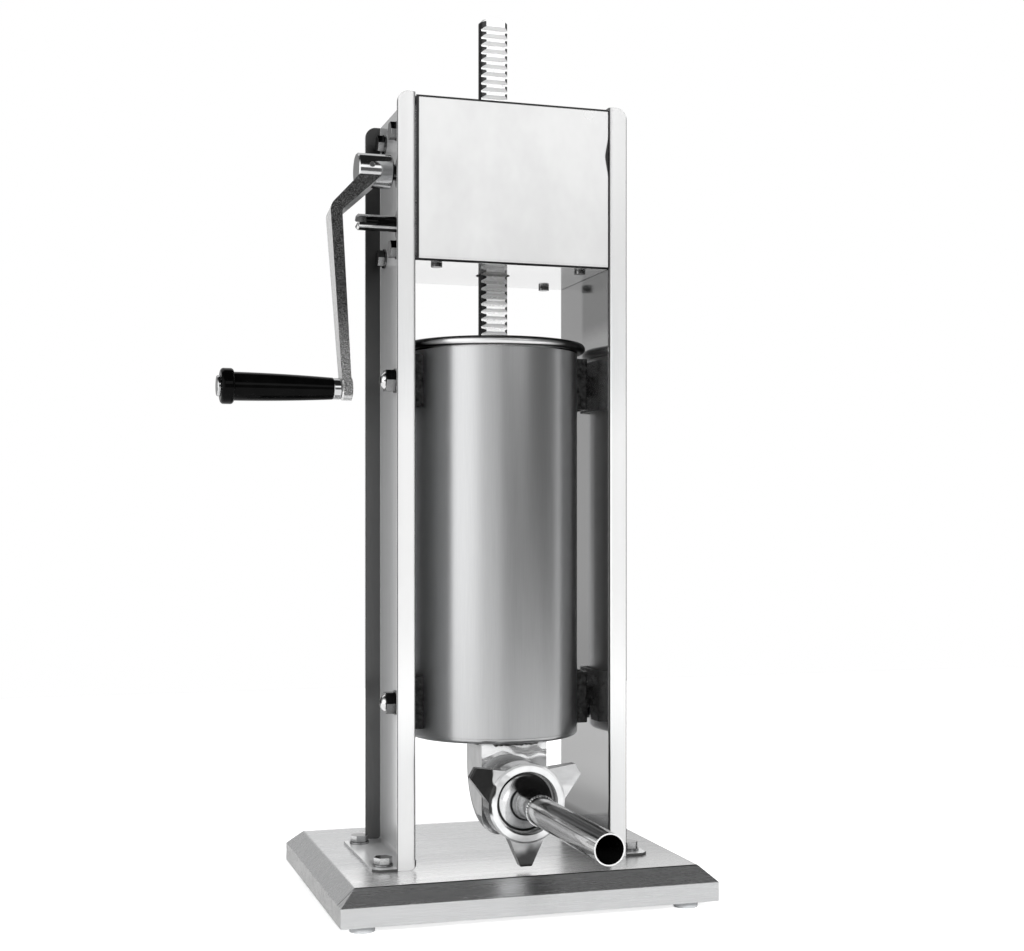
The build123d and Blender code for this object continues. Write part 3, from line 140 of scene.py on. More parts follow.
def makeCamera():
    data = bpy.data.cameras.new("viewer")
    data.lens = camera["lens"]
    data.sensor_width = camera["sensor"]
    data.shift_x = camera["shiftX"]
    data.shift_y = camera["shiftY"]
    data.clip_end = camera["farthest"]
    viewer = bpy.data.objects.new("viewer", data)
    viewer.location = (axisX - camera["left"], axisY - camera["front"], camera["height"])
    viewer.rotation_euler = (math.radians(90), 0, -math.radians(camera["turn"]))
    bpy.context.collection.objects.link(viewer)
    bpy.context.scene.camera = viewer


def paintOver(tree, base, mask, strength):
    mix = addNode(tree, "ShaderNodeMix", {"B": strength}, data_type="FLOAT")
    link(tree, mask, mix.inputs["Factor"])
    if isinstance(base, float):
        mix.inputs["A"].default_value = base
    else:
        link(tree, base, mix.inputs["A"])
    return mix.outputs["Result"]


def makeWorld():
    world = bpy.data.worlds.new("studio")
    bpy.context.scene.world = world
    world.use_nodes = True
    tree = world.node_tree
    tree.nodes.clear()
    axes = addNode(tree, "ShaderNodeSeparateXYZ")
    link(tree, addNode(tree, "ShaderNodeTexCoord").outputs["Generated"], axes.inputs[0])
    front = times(tree, axes.outputs["Y"], -1.0)
    azimuth = mathNode(tree, "DEGREES", mathNode(tree, "ARCTAN2", axes.outputs["X"], front))
    wrapped = addNode(tree, "ShaderNodeMath", {1: 180.0, 2: -180.0}, operation="WRAP")
    link(tree, mathNode(tree, "ADD", azimuth, studio["turn"]), wrapped.inputs[0])
    azimuth = wrapped.outputs[0]
    elevation = mathNode(tree, "DEGREES", mathNode(tree, "ARCSINE", axes.outputs["Z"]))
    light = studio["dark"]
    for panel in studio["panels"]:
        across = window(tree, azimuth, *panel["azimuth"], panel["soft"])
        upward = window(tree, elevation, *panel["elevation"], panel["soft"])
        light = paintOver(tree, light, times(tree, across, upward), panel["strength"])
    behind = smoothStep(tree, mathNode(tree, "ABSOLUTE", azimuth), *studio["backFrom"])
    below = smoothStep(tree, elevation, *studio["backTop"], 1.0, 0.0)
    light = paintOver(tree, light, times(tree, behind, below), studio["backStrength"])
    band = times(tree, behind, window(tree, elevation, *studio["backBand"], studio["bandSoft"]))
    light = paintOver(tree, light, band, studio["bandStrength"])
    rays = addNode(tree, "ShaderNodeLightPath")
    light = paintOver(tree, light, rays.outputs["Is Camera Ray"], studio["seen"])
    background = addNode(tree, "ShaderNodeBackground", {"Strength": 1.0})
    link(tree, light, background.inputs["Color"])
    output = addNode(tree, "ShaderNodeOutputWorld")
    link(tree, background.outputs[0], output.inputs["Surface"])


def makeLamps():
    for name, lamp in lamps.items():
        data = bpy.data.lights.new(name, "SUN")
        data.energy = lamp["strength"]
        data.angle = math.radians(lamp["angle"])
        sun = bpy.data.objects.new(name, data)
        sun.rotation_euler = (math.radians(90 - lamp["elevation"]), 0, math.radians(lamp["azimuth"]))
        sun.visible_glossy = False
        bpy.context.collection.objects.link(sun)


def makeFloor():
    bpy.ops.mesh.primitive_plane_add(size=studio["floorSize"], location=(axisX, axisY, 0))
    floor = bpy.context.object
    floor.name = "floor"
    material = bpy.data.materials.new("paleFloor")
    material.use_nodes = True
    tree = material.node_tree
    shader = tree.nodes["Principled BSDF"]
    grey = studio["floorColour"]
    shader.inputs["Base Color"].default_value = (grey, grey, grey, 1)
    shader.inputs["Roughness"].default_value = studio["floorRoughness"]
    shader.inputs["Emission Color"].default_value = (1, 1, 1, 1)
    rays = addNode(tree, "ShaderNodeLightPath")
    seen = times(tree, rays.outputs["Is Camera Ray"], studio["floorGlow"])
    mirrored = times(tree, rays.outputs["Is Glossy Ray"], studio["mirroredGlow"])
    link(tree, mathNode(tree, "ADD", seen, mirrored), shader.inputs["Emission Strength"])
    floor.data.materials.append(material)


makeCamera()
makeWorld()
makeLamps()
makeFloor()
print("studio ready")

# shared effects

def makeGroup(name, inputs, outputs):
    group = bpy.data.node_groups.new(name, "ShaderNodeTree")
    for label, kind, value in inputs:
        socket = group.interface.new_socket(label, in_out="INPUT", socket_type=kind)
        socket.default_value = value
    for label in outputs:
        group.interface.new_socket(label, in_out="OUTPUT", socket_type="NodeSocketFloat")
    return group, addNode(group, "NodeGroupInput").outputs, addNode(group, "NodeGroupOutput").inputs


grainLook = {
    "streaks": {"Scale": 1.0, "Detail": 4.0, "Roughness": 0.65},
    "streakContrast": (0.28, 0.72),
    "clouds": {"Scale": 1.0, "Detail": 2.0, "Roughness": 0.5},
    "cloudScale": 0.045,  # beside the streaks
    "cloudContrast": (0.3, 0.7),
}


def makeGrainGroup():
    group, given, result = makeGroup(
        "brushedGrain",
        [("Position", "NodeSocketVector", (0, 0, 0)), ("Stretch", "NodeSocketVector", (1, 1, 1))],
        ["Streaks", "Clouds"],
    )
    scaled = addNode(group, "ShaderNodeVectorMath", operation="MULTIPLY")
    link(group, given["Position"], scaled.inputs[0])
    link(group, given["Stretch"], scaled.inputs[1])
    streaks = addNode(group, "ShaderNodeTexNoise", grainLook["streaks"])
    link(group, scaled.outputs[0], streaks.inputs["Vector"])
    broad = addNode(group, "ShaderNodeVectorMath", {"Scale": grainLook["cloudScale"]}, operation="SCALE")
    link(group, scaled.outputs[0], broad.inputs[0])
    clouds = addNode(group, "ShaderNodeTexNoise", grainLook["clouds"])
    link(group, broad.outputs[0], clouds.inputs["Vector"])
    link(group, smoothStep(group, streaks.outputs["Fac"], *grainLook["streakContrast"]), result["Streaks"])
    link(group, smoothStep(group, clouds.outputs["Fac"], *grainLook["cloudContrast"]), result["Clouds"])
    return group


markLook = {
    "haze": {"Detail": 4.0, "Roughness": 0.6},
    "hazeContrast": (0.35, 0.75),
    "slant": {"Rotation": (0.5, 0.3, 0.8), "Scale": (1.0, 9.0, 3.0)},
    "scratchWidth": 0.02,
    "waves": {"Detail": 1.0, "Roughness": 0.4},
    "waveScale": 0.6,  # beside the haze
}


def makeScratchGroup():
    group, given, result = makeGroup(
        "polishMarks",
        [("Position", "NodeSocketVector", (0, 0, 0)), ("Scale", "NodeSocketFloat", 60.0)],
        ["Haze", "Scratches", "Waves"],
    )
    haze = addNode(group, "ShaderNodeTexNoise", markLook["haze"])
    link(group, given["Position"], haze.inputs["Vector"])
    link(group, given["Scale"], haze.inputs["Scale"])
    lines = addNode(group, "ShaderNodeTexVoronoi", feature="DISTANCE_TO_EDGE")
    slanted = addNode(group, "ShaderNodeMapping", markLook["slant"])
    link(group, given["Position"], slanted.inputs["Vector"])
    link(group, slanted.outputs[0], lines.inputs["Vector"])
    link(group, given["Scale"], lines.inputs["Scale"])
    waves = addNode(group, "ShaderNodeTexNoise", markLook["waves"])
    link(group, given["Position"], waves.inputs["Vector"])
    link(group, times(group, given["Scale"], markLook["waveScale"]), waves.inputs["Scale"])
    link(group, smoothStep(group, haze.outputs["Fac"], *markLook["hazeContrast"]), result["Haze"])
    scratches = smoothStep(group, lines.outputs["Distance"], 0.0, markLook["scratchWidth"], 1.0, 0.0)
    link(group, scratches, result["Scratches"])
    link(group, waves.outputs["Fac"], result["Waves"])
    return group


grainGroup = makeGrainGroup()
scratchGroup = makeScratchGroup()


def useGroup(tree, group, values, place):
    node = addNode(tree, "ShaderNodeGroup", values, node_tree=group)
    link(tree, place.outputs["Object"], node.inputs["Position"])
    return node.outputs


def newMaterial(name):
    material = bpy.data.materials.new(name)
    material.use_nodes = True
    tree = material.node_tree
    return material, tree, tree.nodes["Principled BSDF"], addNode(tree, "ShaderNodeTexCoord")


def bump(tree, height, strength, distance, normal=None):
    node = addNode(tree, "ShaderNodeBump", {"Strength": strength, "Distance": distance})
    link(tree, height, node.inputs["Height"])
    if normal is not None:
        link(tree, normal, node.inputs["Normal"])
    return node.outputs["Normal"]


def shade(tree, mask, dark, light):
    mix = addNode(tree, "ShaderNodeMix", data_type="RGBA")
    mix.inputs["A"].default_value = (*dark, 1)
    mix.inputs["B"].default_value = (*light, 1)
    link(tree, mask, mix.inputs["Factor"])
    return mix.outputs["Result"]


def tinted(tree, colour, mask, tint):
    mix = addNode(tree, "ShaderNodeMix", data_type="RGBA")
    link(tree, mask, mix.inputs["Factor"])
    link(tree, colour, mix.inputs["A"])
    mix.inputs["B"].default_value = (*tint, 1)
    return mix.outputs["Result"]


# painted shade: darkens the colour where neighbours are near, in corners, creases, recesses and between parts
def occluded(tree, colour, reach, low, high, floor=0.08):
    hollow = addNode(tree, "ShaderNodeAmbientOcclusion", {"Distance": reach}, samples=6)
    kept = smoothStep(tree, hollow.outputs["AO"], low, high, floor, 1.0)
    mix = addNode(tree, "ShaderNodeMix", {"Factor": 1.0}, data_type="RGBA", blend_type="MULTIPLY")
    link(tree, colour, mix.inputs["A"])
    link(tree, kept, mix.inputs["B"])
    return mix.outputs["Result"]


def along(tree, place, direction):
    product = addNode(tree, "ShaderNodeVectorMath", {1: direction}, operation="DOT_PRODUCT")
    link(tree, place.outputs["Normal"], product.inputs[0])
    return product.outputs["Value"]


def facing(tree, place, direction, low=0.5, high=0.7):
    return smoothStep(tree, along(tree, place, direction), low, high)


def coordinate(tree, place, axis):
    axes = addNode(tree, "ShaderNodeSeparateXYZ")
    link(tree, place.outputs["Object"], axes.inputs[0])
    return axes.outputs[axis]


def offset(tree, place, axis, middle):
    return mathNode(tree, "SUBTRACT", coordinate(tree, place, axis), middle)


# where painted shade and painted light lie over one piece, and where its finish changes: each mask is 1
# inside its area

toward = {"left": (-1, 0, 0), "right": (1, 0, 0), "front": (0, -1, 0), "up": (0, 0, 1), "down": (0, 0, -1)}

# painted highlight over the barrel's rolled bead, with painted shade along the bead's edges
barrelBead = {
    "depth": 0.008,  # down from the barrel's rim
    "soft": 0.0004,
    "edge": (0.15, 0.4),  # how far the bead turns away while the painted shade on its edge darkens
}


def turnedAway(tree, start, end):
    weight = addNode(tree, "ShaderNodeLayerWeight", {"Blend": 0.5})
    return smoothStep(tree, weight.outputs["Facing"], start, end)


def wholeBead(tree, place):
    start = barrelHigh.z - barrelBead["depth"]
    return smoothStep(tree, coordinate(tree, place, "Z"), start, start + barrelBead["soft"])


def barrelRim(tree, place):
    return times(tree, wholeBead(tree, place), turnedAway(tree, *barrelBead["edge"]))


rimFade = (0.5, 0.92)  # how far a polished surface turns away while the painted shade along its edge darkens


def rim(tree, place):
    return turnedAway(tree, *rimFade)


# painted sheen: lighter flecks on the cast arm towards its foot
armFlecks = {
    "noise": {"Scale": 1500.0, "Detail": 2.0, "Roughness": 0.7},
    "contrast": (0.45, 0.62),
    "from": 0.02,  # up from the arm's foot
    "to": 0.085,
}


def lowerArm(tree, place):
    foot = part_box("crank_arm")[0].z
    flecks = addNode(tree, "ShaderNodeTexNoise", armFlecks["noise"])
    link(tree, place.outputs["Object"], flecks.inputs["Vector"])
    height = coordinate(tree, place, "Z")
    lower = smoothStep(tree, height, foot + armFlecks["from"], foot + armFlecks["to"], 1.0, 0.0)
    return times(tree, smoothStep(tree, flecks.outputs["Fac"], *armFlecks["contrast"]), lower)


columnLow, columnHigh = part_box("column_left")
# painted shade and painted light on the columns: darker behind the webs and towards their heads and feet,
# dark lines along the flange edges, a lighter middle on the front flanges
columnPaintedShade = {
    "rear": (0.03, 0.032),  # back from the cylinder's axis
    "rearHeight": (0.3, 0.06, 0.85),  # up from the foot, down from the head, strength there
    "flangeInner": (0.0811, 0.0815),  # sideways from the cylinder's axis
    "flangeOuter": (0.0943, 0.0946),
    "flangeTurn": (0.3, 0.5),  # how squarely a surface faces the front
    "flangeHead": (0.24, 0.1, 0.0, 1.0),  # down from the head, strength at either height
    "outerWebHead": (0.3, 0.1, 0.0, 0.42),
    "flangeFoot": (0.04, 0.15, 0.8, 0.0),  # up from the foot, strength at either height
    "innerWebFoot": (0.022, 0.034, 0.85, 0.0),
    "innerWebLower": (0.08, 0.24, 0.3, 0.0),
    "flangeMiddle": (0.12, 0.24, 0.08),  # up from the foot, down from the head, softness
    "innerWebHead": 0.02,  # up from the barrel's rim
    "innerWebFront": (-0.002, 0.008, 0.55, 0.1),  # back from the cylinder's axis, strength
    "half": 0.01,  # softness at the cylinder's axis
}


def aboveFoot(tree, place, start, end, low, high):
    return smoothStep(tree, coordinate(tree, place, "Z"), columnLow.z + start, columnLow.z + end, low, high)


def belowHead(tree, place, start, end, low, high):
    return smoothStep(tree, coordinate(tree, place, "Z"), columnHigh.z - start, columnHigh.z - end, low, high)


def behindWeb(tree, place):
    far = smoothStep(tree, offset(tree, place, "Y", axisY), *columnPaintedShade["rear"])
    return times(tree, facing(tree, place, toward["front"]), far)


def behindTop(tree, place):
    foot, head, strength = columnPaintedShade["rearHeight"]
    height = coordinate(tree, place, "Z")
    upper = smoothStep(tree, height, columnLow.z + foot, columnHigh.z - head, 0.0, strength)
    return times(tree, behindWeb(tree, place), upper)


def frontFlange(tree, place):
    near = smoothStep(tree, coordinate(tree, place, "Y"), axisY, axisY + columnPaintedShade["half"], 1.0, 0.0)
    return times(tree, facing(tree, place, toward["front"]), near)


def flangeTop(tree, place):
    head = belowHead(tree, place, *columnPaintedShade["flangeHead"])
    foot = aboveFoot(tree, place, *columnPaintedShade["flangeFoot"])
    return times(tree, frontFlange(tree, place), either(tree, head, foot))


def flangeMiddle(tree, place):
    foot, head, soft = columnPaintedShade["flangeMiddle"]
    middle = window(tree, coordinate(tree, place, "Z"), columnLow.z + foot, columnHigh.z - head, soft)
    return times(tree, frontFlange(tree, place), middle)


def flangeEdges(tree, place):
    across = mathNode(tree, "ABSOLUTE", offset(tree, place, "X", axisX))
    outer = smoothStep(tree, across, *columnPaintedShade["flangeOuter"])
    inner = smoothStep(tree, across, *columnPaintedShade["flangeInner"], 1.0, 0.0)
    squarely = facing(tree, place, toward["front"], *columnPaintedShade["flangeTurn"])
    return times(tree, either(tree, outer, inner), squarely)


def outerWebTop(tree, place):
    left = smoothStep(tree, coordinate(tree, place, "X"), axisX - columnPaintedShade["half"], axisX, 1.0, 0.0)
    head = belowHead(tree, place, *columnPaintedShade["outerWebHead"])
    return times(tree, facing(tree, place, toward["left"]), times(tree, head, left))


def innerWeb(tree, place):
    right = smoothStep(tree, coordinate(tree, place, "X"), axisX, axisX + columnPaintedShade["half"])
    return times(tree, facing(tree, place, toward["left"]), right)


def innerWebFoot(tree, place):
    foot = aboveFoot(tree, place, *columnPaintedShade["innerWebFoot"])
    lower = aboveFoot(tree, place, *columnPaintedShade["innerWebLower"])
    return times(tree, innerWeb(tree, place), either(tree, foot, lower))


def innerWebTop(tree, place):
    height = coordinate(tree, place, "Z")
    upper = smoothStep(tree, height, barrelHigh.z, barrelHigh.z + columnPaintedShade["innerWebHead"])
    front = smoothStep(tree, offset(tree, place, "Y", axisY), *columnPaintedShade["innerWebFront"])
    return times(tree, innerWeb(tree, place), times(tree, upper, front))


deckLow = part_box("base_pan")[0]
# painted light and shade on the deck: a lighter strip at the front, darker to the right and on the left
# skirt, a dark line along the front crease
deckPaintedShade = {
    "front": (0.03, 0.1, 1.0, 0.0),  # back from the front edge, strength at either distance
    "right": (0.0, 0.09, 0.0, 0.55),  # right from the cylinder's axis, strength
    "crease": (0.0124, 0.0136, 0.0003),  # back from the front edge, softness
    "level": (0.9, 0.95),  # how squarely a surface faces up
    "creaseLevel": (0.4, 0.6),
    "skirtTurn": (0.8, 0.95),  # how squarely a surface faces left
}


def deckLevel(tree, place):
    return facing(tree, place, toward["up"], *deckPaintedShade["level"])


def deckFront(tree, place):
    front = smoothStep(tree, offset(tree, place, "Y", deckLow.y), *deckPaintedShade["front"])
    return times(tree, front, deckLevel(tree, place))


def deckRight(tree, place):
    right = smoothStep(tree, offset(tree, place, "X", axisX), *deckPaintedShade["right"])
    return times(tree, right, deckLevel(tree, place))


def deckCrease(tree, place):
    crease = window(tree, offset(tree, place, "Y", deckLow.y), *deckPaintedShade["crease"])
    return times(tree, crease, facing(tree, place, toward["up"], *deckPaintedShade["creaseLevel"]))


def leftSkirt(tree, place):
    return facing(tree, place, toward["left"], *deckPaintedShade["skirtTurn"])


# painted light on the rack teeth's undersides, painted shade on their sides
toothTurn = (0.2, 0.4)  # how squarely a tooth's surface faces down


def toothSides(tree, place):
    return either(tree, facing(tree, place, toward["left"]), facing(tree, place, toward["right"]))


def toothUndersides(tree, place):
    return facing(tree, place, toward["down"], *toothTurn)


# painted shade: dark lines along the cover's border, wider on the right part way down
coverPaintedBorder = {
    "margin": 0.0018,
    "left": 0.0005,  # softness of each side
    "right": (-0.0003, 0.0006),
    "ends": 0.0004,
    "rightMargin": 0.0003,
    "wideShade": (0.046, 0.03, 0.02),  # where the painted dark border on the right widens: down from the cover's top, softness
    "wideShadeWidth": 0.0026,
    "turn": (0.2, 0.4),  # how squarely a surface faces the front
}


def underCover(tree, place):
    return facing(tree, place, toward["down"])


def coverBorder(tree, place):
    low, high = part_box("housing_cover")
    margin = coverPaintedBorder["margin"]
    width, height = coordinate(tree, place, "X"), coordinate(tree, place, "Z")
    left = smoothStep(tree, width, low.x + margin, low.x + margin + coverPaintedBorder["left"], 1.0, 0.0)
    wideShadeFrom, wideShadeTo, wideShadeSoft = coverPaintedBorder["wideShade"]
    wideShade = window(tree, height, high.z - wideShadeFrom, high.z - wideShadeTo, wideShadeSoft)
    wideShade = times(tree, wideShade, coverPaintedBorder["wideShadeWidth"])
    toRight = offset(tree, place, "X", high.x - coverPaintedBorder["rightMargin"])
    right = smoothStep(tree, mathNode(tree, "ADD", toRight, wideShade), *coverPaintedBorder["right"])
    fromMiddle = mathNode(tree, "ABSOLUTE", offset(tree, place, "Z", (low.z + high.z) / 2))
    end = (high.z - low.z) / 2 - margin
    ends = smoothStep(tree, fromMiddle, end, end + coverPaintedBorder["ends"])
    border = either(tree, either(tree, left, right), ends)
    return times(tree, border, facing(tree, place, toward["front"], *coverPaintedBorder["turn"]))


paintedBrightBands = {  # painted highlights in bands, painted shade elsewhere: how far a surface turns up or sideways: from, to, softness
    "below": (-0.75, -0.5, 0.12),
    "above": (0.6, 1.2, 0.12),
    "ends": (0.6, 0.94, 0.05),
}


def paintedBands(tree, place):
    upward = along(tree, place, toward["up"])
    below = window(tree, upward, *paintedBrightBands["below"])
    above = window(tree, upward, *paintedBrightBands["above"])
    sideways = mathNode(tree, "ABSOLUTE", along(tree, place, toward["right"]))
    ends = window(tree, sideways, *paintedBrightBands["ends"])
    bright = either(tree, either(tree, below, above), ends)
    return mathNode(tree, "SUBTRACT", 1.0, bright)


tubeLow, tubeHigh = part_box("stuffing_tube")
# painted reflection: dark stripes along the tube; painted shade inside it
tubePaintedShade = {
    "above": (0.35, 0, 0.94),  # directions of the painted dark reflection stripes
    "below": (-0.5, 0, -0.87),
    "upper": (0.35, 0.8, 0.12),  # from, to, softness
    "middle": (0.05, 0.1, 0.06),
    "lower": (0.8, 0.92),
    "inside": (-0.002, -0.001),  # below nought where a surface faces the tube's axis
}


def insideTube(tree, place):
    middle = ((tubeLow.x + tubeHigh.x) / 2, 0, (tubeLow.z + tubeHigh.z) / 2)
    fromAxis = addNode(tree, "ShaderNodeVectorMath", {1: middle}, operation="SUBTRACT")
    link(tree, place.outputs["Object"], fromAxis.inputs[0])
    across = addNode(tree, "ShaderNodeVectorMath", {1: (1, 0, 1)}, operation="MULTIPLY")
    link(tree, fromAxis.outputs[0], across.inputs[0])
    outward = addNode(tree, "ShaderNodeVectorMath", operation="DOT_PRODUCT")
    link(tree, across.outputs[0], outward.inputs[0])
    link(tree, place.outputs["Normal"], outward.inputs[1])
    return smoothStep(tree, outward.outputs["Value"], *tubePaintedShade["inside"], 1.0, 0.0)


def tubeShadow(tree, place):
    above = along(tree, place, tubePaintedShade["above"])
    below = along(tree, place, tubePaintedShade["below"])
    upper = window(tree, above, *tubePaintedShade["upper"])
    middle = window(tree, above, *tubePaintedShade["middle"])
    lower = smoothStep(tree, below, *tubePaintedShade["lower"])
    stripes = either(tree, either(tree, upper, middle), lower)
    return either(tree, stripes, insideTube(tree, place))


# painted reflection: dark rings at the funnel's rim and neck, and a dark side facing up and right
funnelPaintedShade = {
    "ring": (0.0205, 0.0225, 0.0006),  # radius from, to, softness
    "neck": (0.012, 0.0135, 0.001),
    "above": (0.6, 0, 0.8),  # direction of the painted dark side
    "turn": (0.05, 0.25),
}


def funnelShadow(tree, place):
    low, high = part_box("tube_funnel")
    across = offset(tree, place, "X", (low.x + high.x) / 2)
    upward = offset(tree, place, "Z", (low.z + high.z) / 2)
    squares = mathNode(tree, "ADD", times(tree, across, across), times(tree, upward, upward))
    radius = mathNode(tree, "SQRT", squares)
    ring = window(tree, radius, *funnelPaintedShade["ring"])
    neck = window(tree, radius, *funnelPaintedShade["neck"])
    shadow = facing(tree, place, funnelPaintedShade["above"], *funnelPaintedShade["turn"])
    return either(tree, either(tree, ring, neck), shadow)


nutLow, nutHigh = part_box("wing_nut")
lobePaintedShade = {  # painted dark reflections on the lower and left lobes; they stay in place while the nut turns
    "leftRipple": (90.0, 0.012),  # scale and size of the wavy edge
    "left": 0.032,  # left of the cylinder's axis
    "leftSoft": 0.0015,
    "middleSoft": 0.004,
    "lowerRipple": (110.0, 0.016),
    "lower": (0.014, 0.038, 0.95, 0.0),  # up from the nut's lowest point, strength at either height
}


def placeInRoom(tree, scale, size):
    here = addNode(tree, "ShaderNodeNewGeometry").outputs["Position"]
    ripple = addNode(tree, "ShaderNodeTexNoise", {"Scale": scale, "Detail": 1.0})
    link(tree, here, ripple.inputs["Vector"])
    axes = addNode(tree, "ShaderNodeSeparateXYZ")
    link(tree, here, axes.inputs[0])
    return axes.outputs, times(tree, ripple.outputs["Fac"], size)


def lowerLobe(tree, place):
    axes, ripple = placeInRoom(tree, *lobePaintedShade["lowerRipple"])
    height = mathNode(tree, "SUBTRACT", axes["Z"], nutLow.z)
    return smoothStep(tree, mathNode(tree, "ADD", height, ripple), *lobePaintedShade["lower"])


def leftLobe(tree, place):
    axes, ripple = placeInRoom(tree, *lobePaintedShade["leftRipple"])
    left = mathNode(tree, "SUBTRACT", axisX - lobePaintedShade["left"], axes["X"])
    wavy = smoothStep(tree, mathNode(tree, "ADD", left, ripple), 0.0, lobePaintedShade["leftSoft"])
    middle = (nutLow.z + nutHigh.z) / 2
    return times(tree, wavy, smoothStep(tree, axes["Z"], middle, middle + lobePaintedShade["middleSoft"]))


# the finishes themselves

rounding = {"sheet": 0.0006, "polished": 0.0005, "cast": 0.0009}  # radius of softened edges
polish = {"haze": 0.86, "scratches": 0.15, "scratchDepth": 0.00002}  # haze is the share of colour left
grainUse = {"streaks": 0.5, "clouds": 0.5, "strength": 0.5}  # shares of the roughness, strength of the bump


def brushedSteel(name, stretch, dark, light, roughness, depth, metallic, hollow=None):
    material, tree, shader, place = newMaterial(name)
    shader.inputs["Metallic"].default_value = metallic
    grain = useGroup(tree, grainGroup, {"Stretch": stretch}, place)
    colour = shade(tree, grain["Streaks"], dark, light)
    link(tree, occluded(tree, colour, *hollow) if hollow else colour, shader.inputs["Base Color"])
    streaks = times(tree, grain["Streaks"], grainUse["streaks"])
    tone = mathNode(tree, "ADD", streaks, times(tree, grain["Clouds"], grainUse["clouds"]))
    link(tree, smoothStep(tree, tone, 0.0, 1.0, *roughness), shader.inputs["Roughness"])
    rounded = addNode(tree, "ShaderNodeBevel", {"Radius": rounding["sheet"]}, samples=4)
    normal = bump(tree, grain["Streaks"], grainUse["strength"], depth, rounded.outputs[0])
    link(tree, normal, shader.inputs["Normal"])
    return material


def polishedSteel(name, colour, roughness, scale=60.0, waves=0.0, metallic=1.0, hollow=None):
    material, tree, shader, place = newMaterial(name)
    shader.inputs["Metallic"].default_value = metallic
    marks = useGroup(tree, scratchGroup, {"Scale": scale}, place)
    mixed = shade(tree, marks["Haze"], colour, [channel * polish["haze"] for channel in colour])
    link(tree, occluded(tree, mixed, *hollow) if hollow else mixed, shader.inputs["Base Color"])
    tone = either(tree, marks["Haze"], marks["Scratches"])
    link(tree, smoothStep(tree, tone, 0.0, 1.0, *roughness), shader.inputs["Roughness"])
    normal = addNode(tree, "ShaderNodeBevel", {"Radius": rounding["polished"]}, samples=4).outputs[0]
    if waves:
        normal = bump(tree, marks["Waves"], 1.0, waves, normal)
    normal = bump(tree, marks["Scratches"], polish["scratches"], polish["scratchDepth"], normal)
    link(tree, normal, shader.inputs["Normal"])
    return material


def plainCoat(name, dark, light, roughness, scale, depth, shine=0.5):
    material, tree, shader, place = newMaterial(name)
    shader.inputs["Specular IOR Level"].default_value = shine
    marks = useGroup(tree, scratchGroup, {"Scale": scale}, place)
    link(tree, shade(tree, marks["Haze"], dark, light), shader.inputs["Base Color"])
    link(tree, smoothStep(tree, marks["Haze"], 0.0, 1.0, *roughness), shader.inputs["Roughness"])
    link(tree, bump(tree, marks["Haze"], 0.4, depth), shader.inputs["Normal"])
    return material


def castAndGround(name, cast):
    material, tree, shader, place = newMaterial(name)
    marks = useGroup(tree, scratchGroup, {"Scale": cast["scale"]}, place)
    squarely = mathNode(tree, "ABSOLUTE", along(tree, place, cast["flat"]))
    isCast = smoothStep(tree, squarely, *cast["turn"])
    pits = addNode(tree, "ShaderNodeTexNoise", cast["pits"])
    link(tree, place.outputs["Object"], pits.inputs["Vector"])
    speckle = smoothStep(tree, pits.outputs["Fac"], *cast["contrast"])
    colours = addNode(tree, "ShaderNodeMix", data_type="RGBA")
    link(tree, isCast, colours.inputs["Factor"])
    link(tree, shade(tree, marks["Haze"], cast["ground"], cast["hazyGround"]), colours.inputs["A"])
    link(tree, shade(tree, speckle, cast["dark"], cast["light"]), colours.inputs["B"])
    link(tree, colours.outputs["Result"], shader.inputs["Base Color"])
    link(tree, smoothStep(tree, isCast, 0.0, 1.0, *cast["metallic"]), shader.inputs["Metallic"])
    link(tree, smoothStep(tree, isCast, 0.0, 1.0, *cast["roughness"]), shader.inputs["Roughness"])
    rounded = addNode(tree, "ShaderNodeBevel", {"Radius": rounding["cast"]}, samples=6)
    waved = bump(tree, marks["Waves"], 1.0, cast["waveDepth"], rounded.outputs[0])
    pitted = bump(tree, times(tree, speckle, isCast), 0.8, cast["pitDepth"], waved)
    link(tree, pitted, shader.inputs["Normal"])
    return material


def threadedSteel(name, thread):
    material, tree, shader, place = newMaterial(name)
    shader.inputs["Metallic"].default_value = 1.0
    shader.inputs["Base Color"].default_value = (*thread["colour"], 1)
    turns = times(tree, coordinate(tree, place, "Y"), 2 * math.pi / thread["pitch"])
    marks = useGroup(tree, scratchGroup, {"Scale": thread["scale"]}, place)
    link(tree, smoothStep(tree, marks["Haze"], 0.0, 1.0, *thread["roughness"]), shader.inputs["Roughness"])
    ridges = bump(tree, mathNode(tree, "SINE", turns), 1.0, thread["depth"])
    link(tree, ridges, shader.inputs["Normal"])
    return material


def grey(level):
    return (level, level, level)


# roughness: least and most; hollow, painted shade in corners and between parts: how far off a neighbour
# still darkens a surface, how open the darkest places are, how open the clean ones are, and the share of
# colour left in the darkest
brushed = {
    "columnSteel": {
        "stretch": (2600, 2600, 40),
        "dark": (0.79, 0.795, 0.8),
        "light": (0.86, 0.865, 0.87),
        "roughness": (0.2, 0.25),
        "depth": 0.000003,
        "metallic": 0.5,
        "hollow": (0.03, 0.3, 0.9, 0.8),
    },
    "deckSteel": {
        "stretch": (50, 2400, 2400),
        "dark": (0.6, 0.605, 0.61),
        "light": (0.72, 0.725, 0.73),
        "roughness": (0.22, 0.32),
        "depth": 0.00002,
        "metallic": 0.9,
    },
    "barrelSteel": {
        "stretch": (2200, 2200, 30),
        "dark": (0.6, 0.605, 0.61),
        "light": (0.64, 0.645, 0.65),
        "roughness": (0.29, 0.32),
        "depth": 0.000003,
        "metallic": 1.0,
    },
    "coverSteel": {
        "stretch": (14, 14, 9),
        "dark": grey(0.6),
        "light": grey(0.69),
        "roughness": (0.25, 0.285),
        "depth": 0.0,
        "metallic": 0.4,
        "hollow": (0.004, 0.5, 0.9),
    },
}
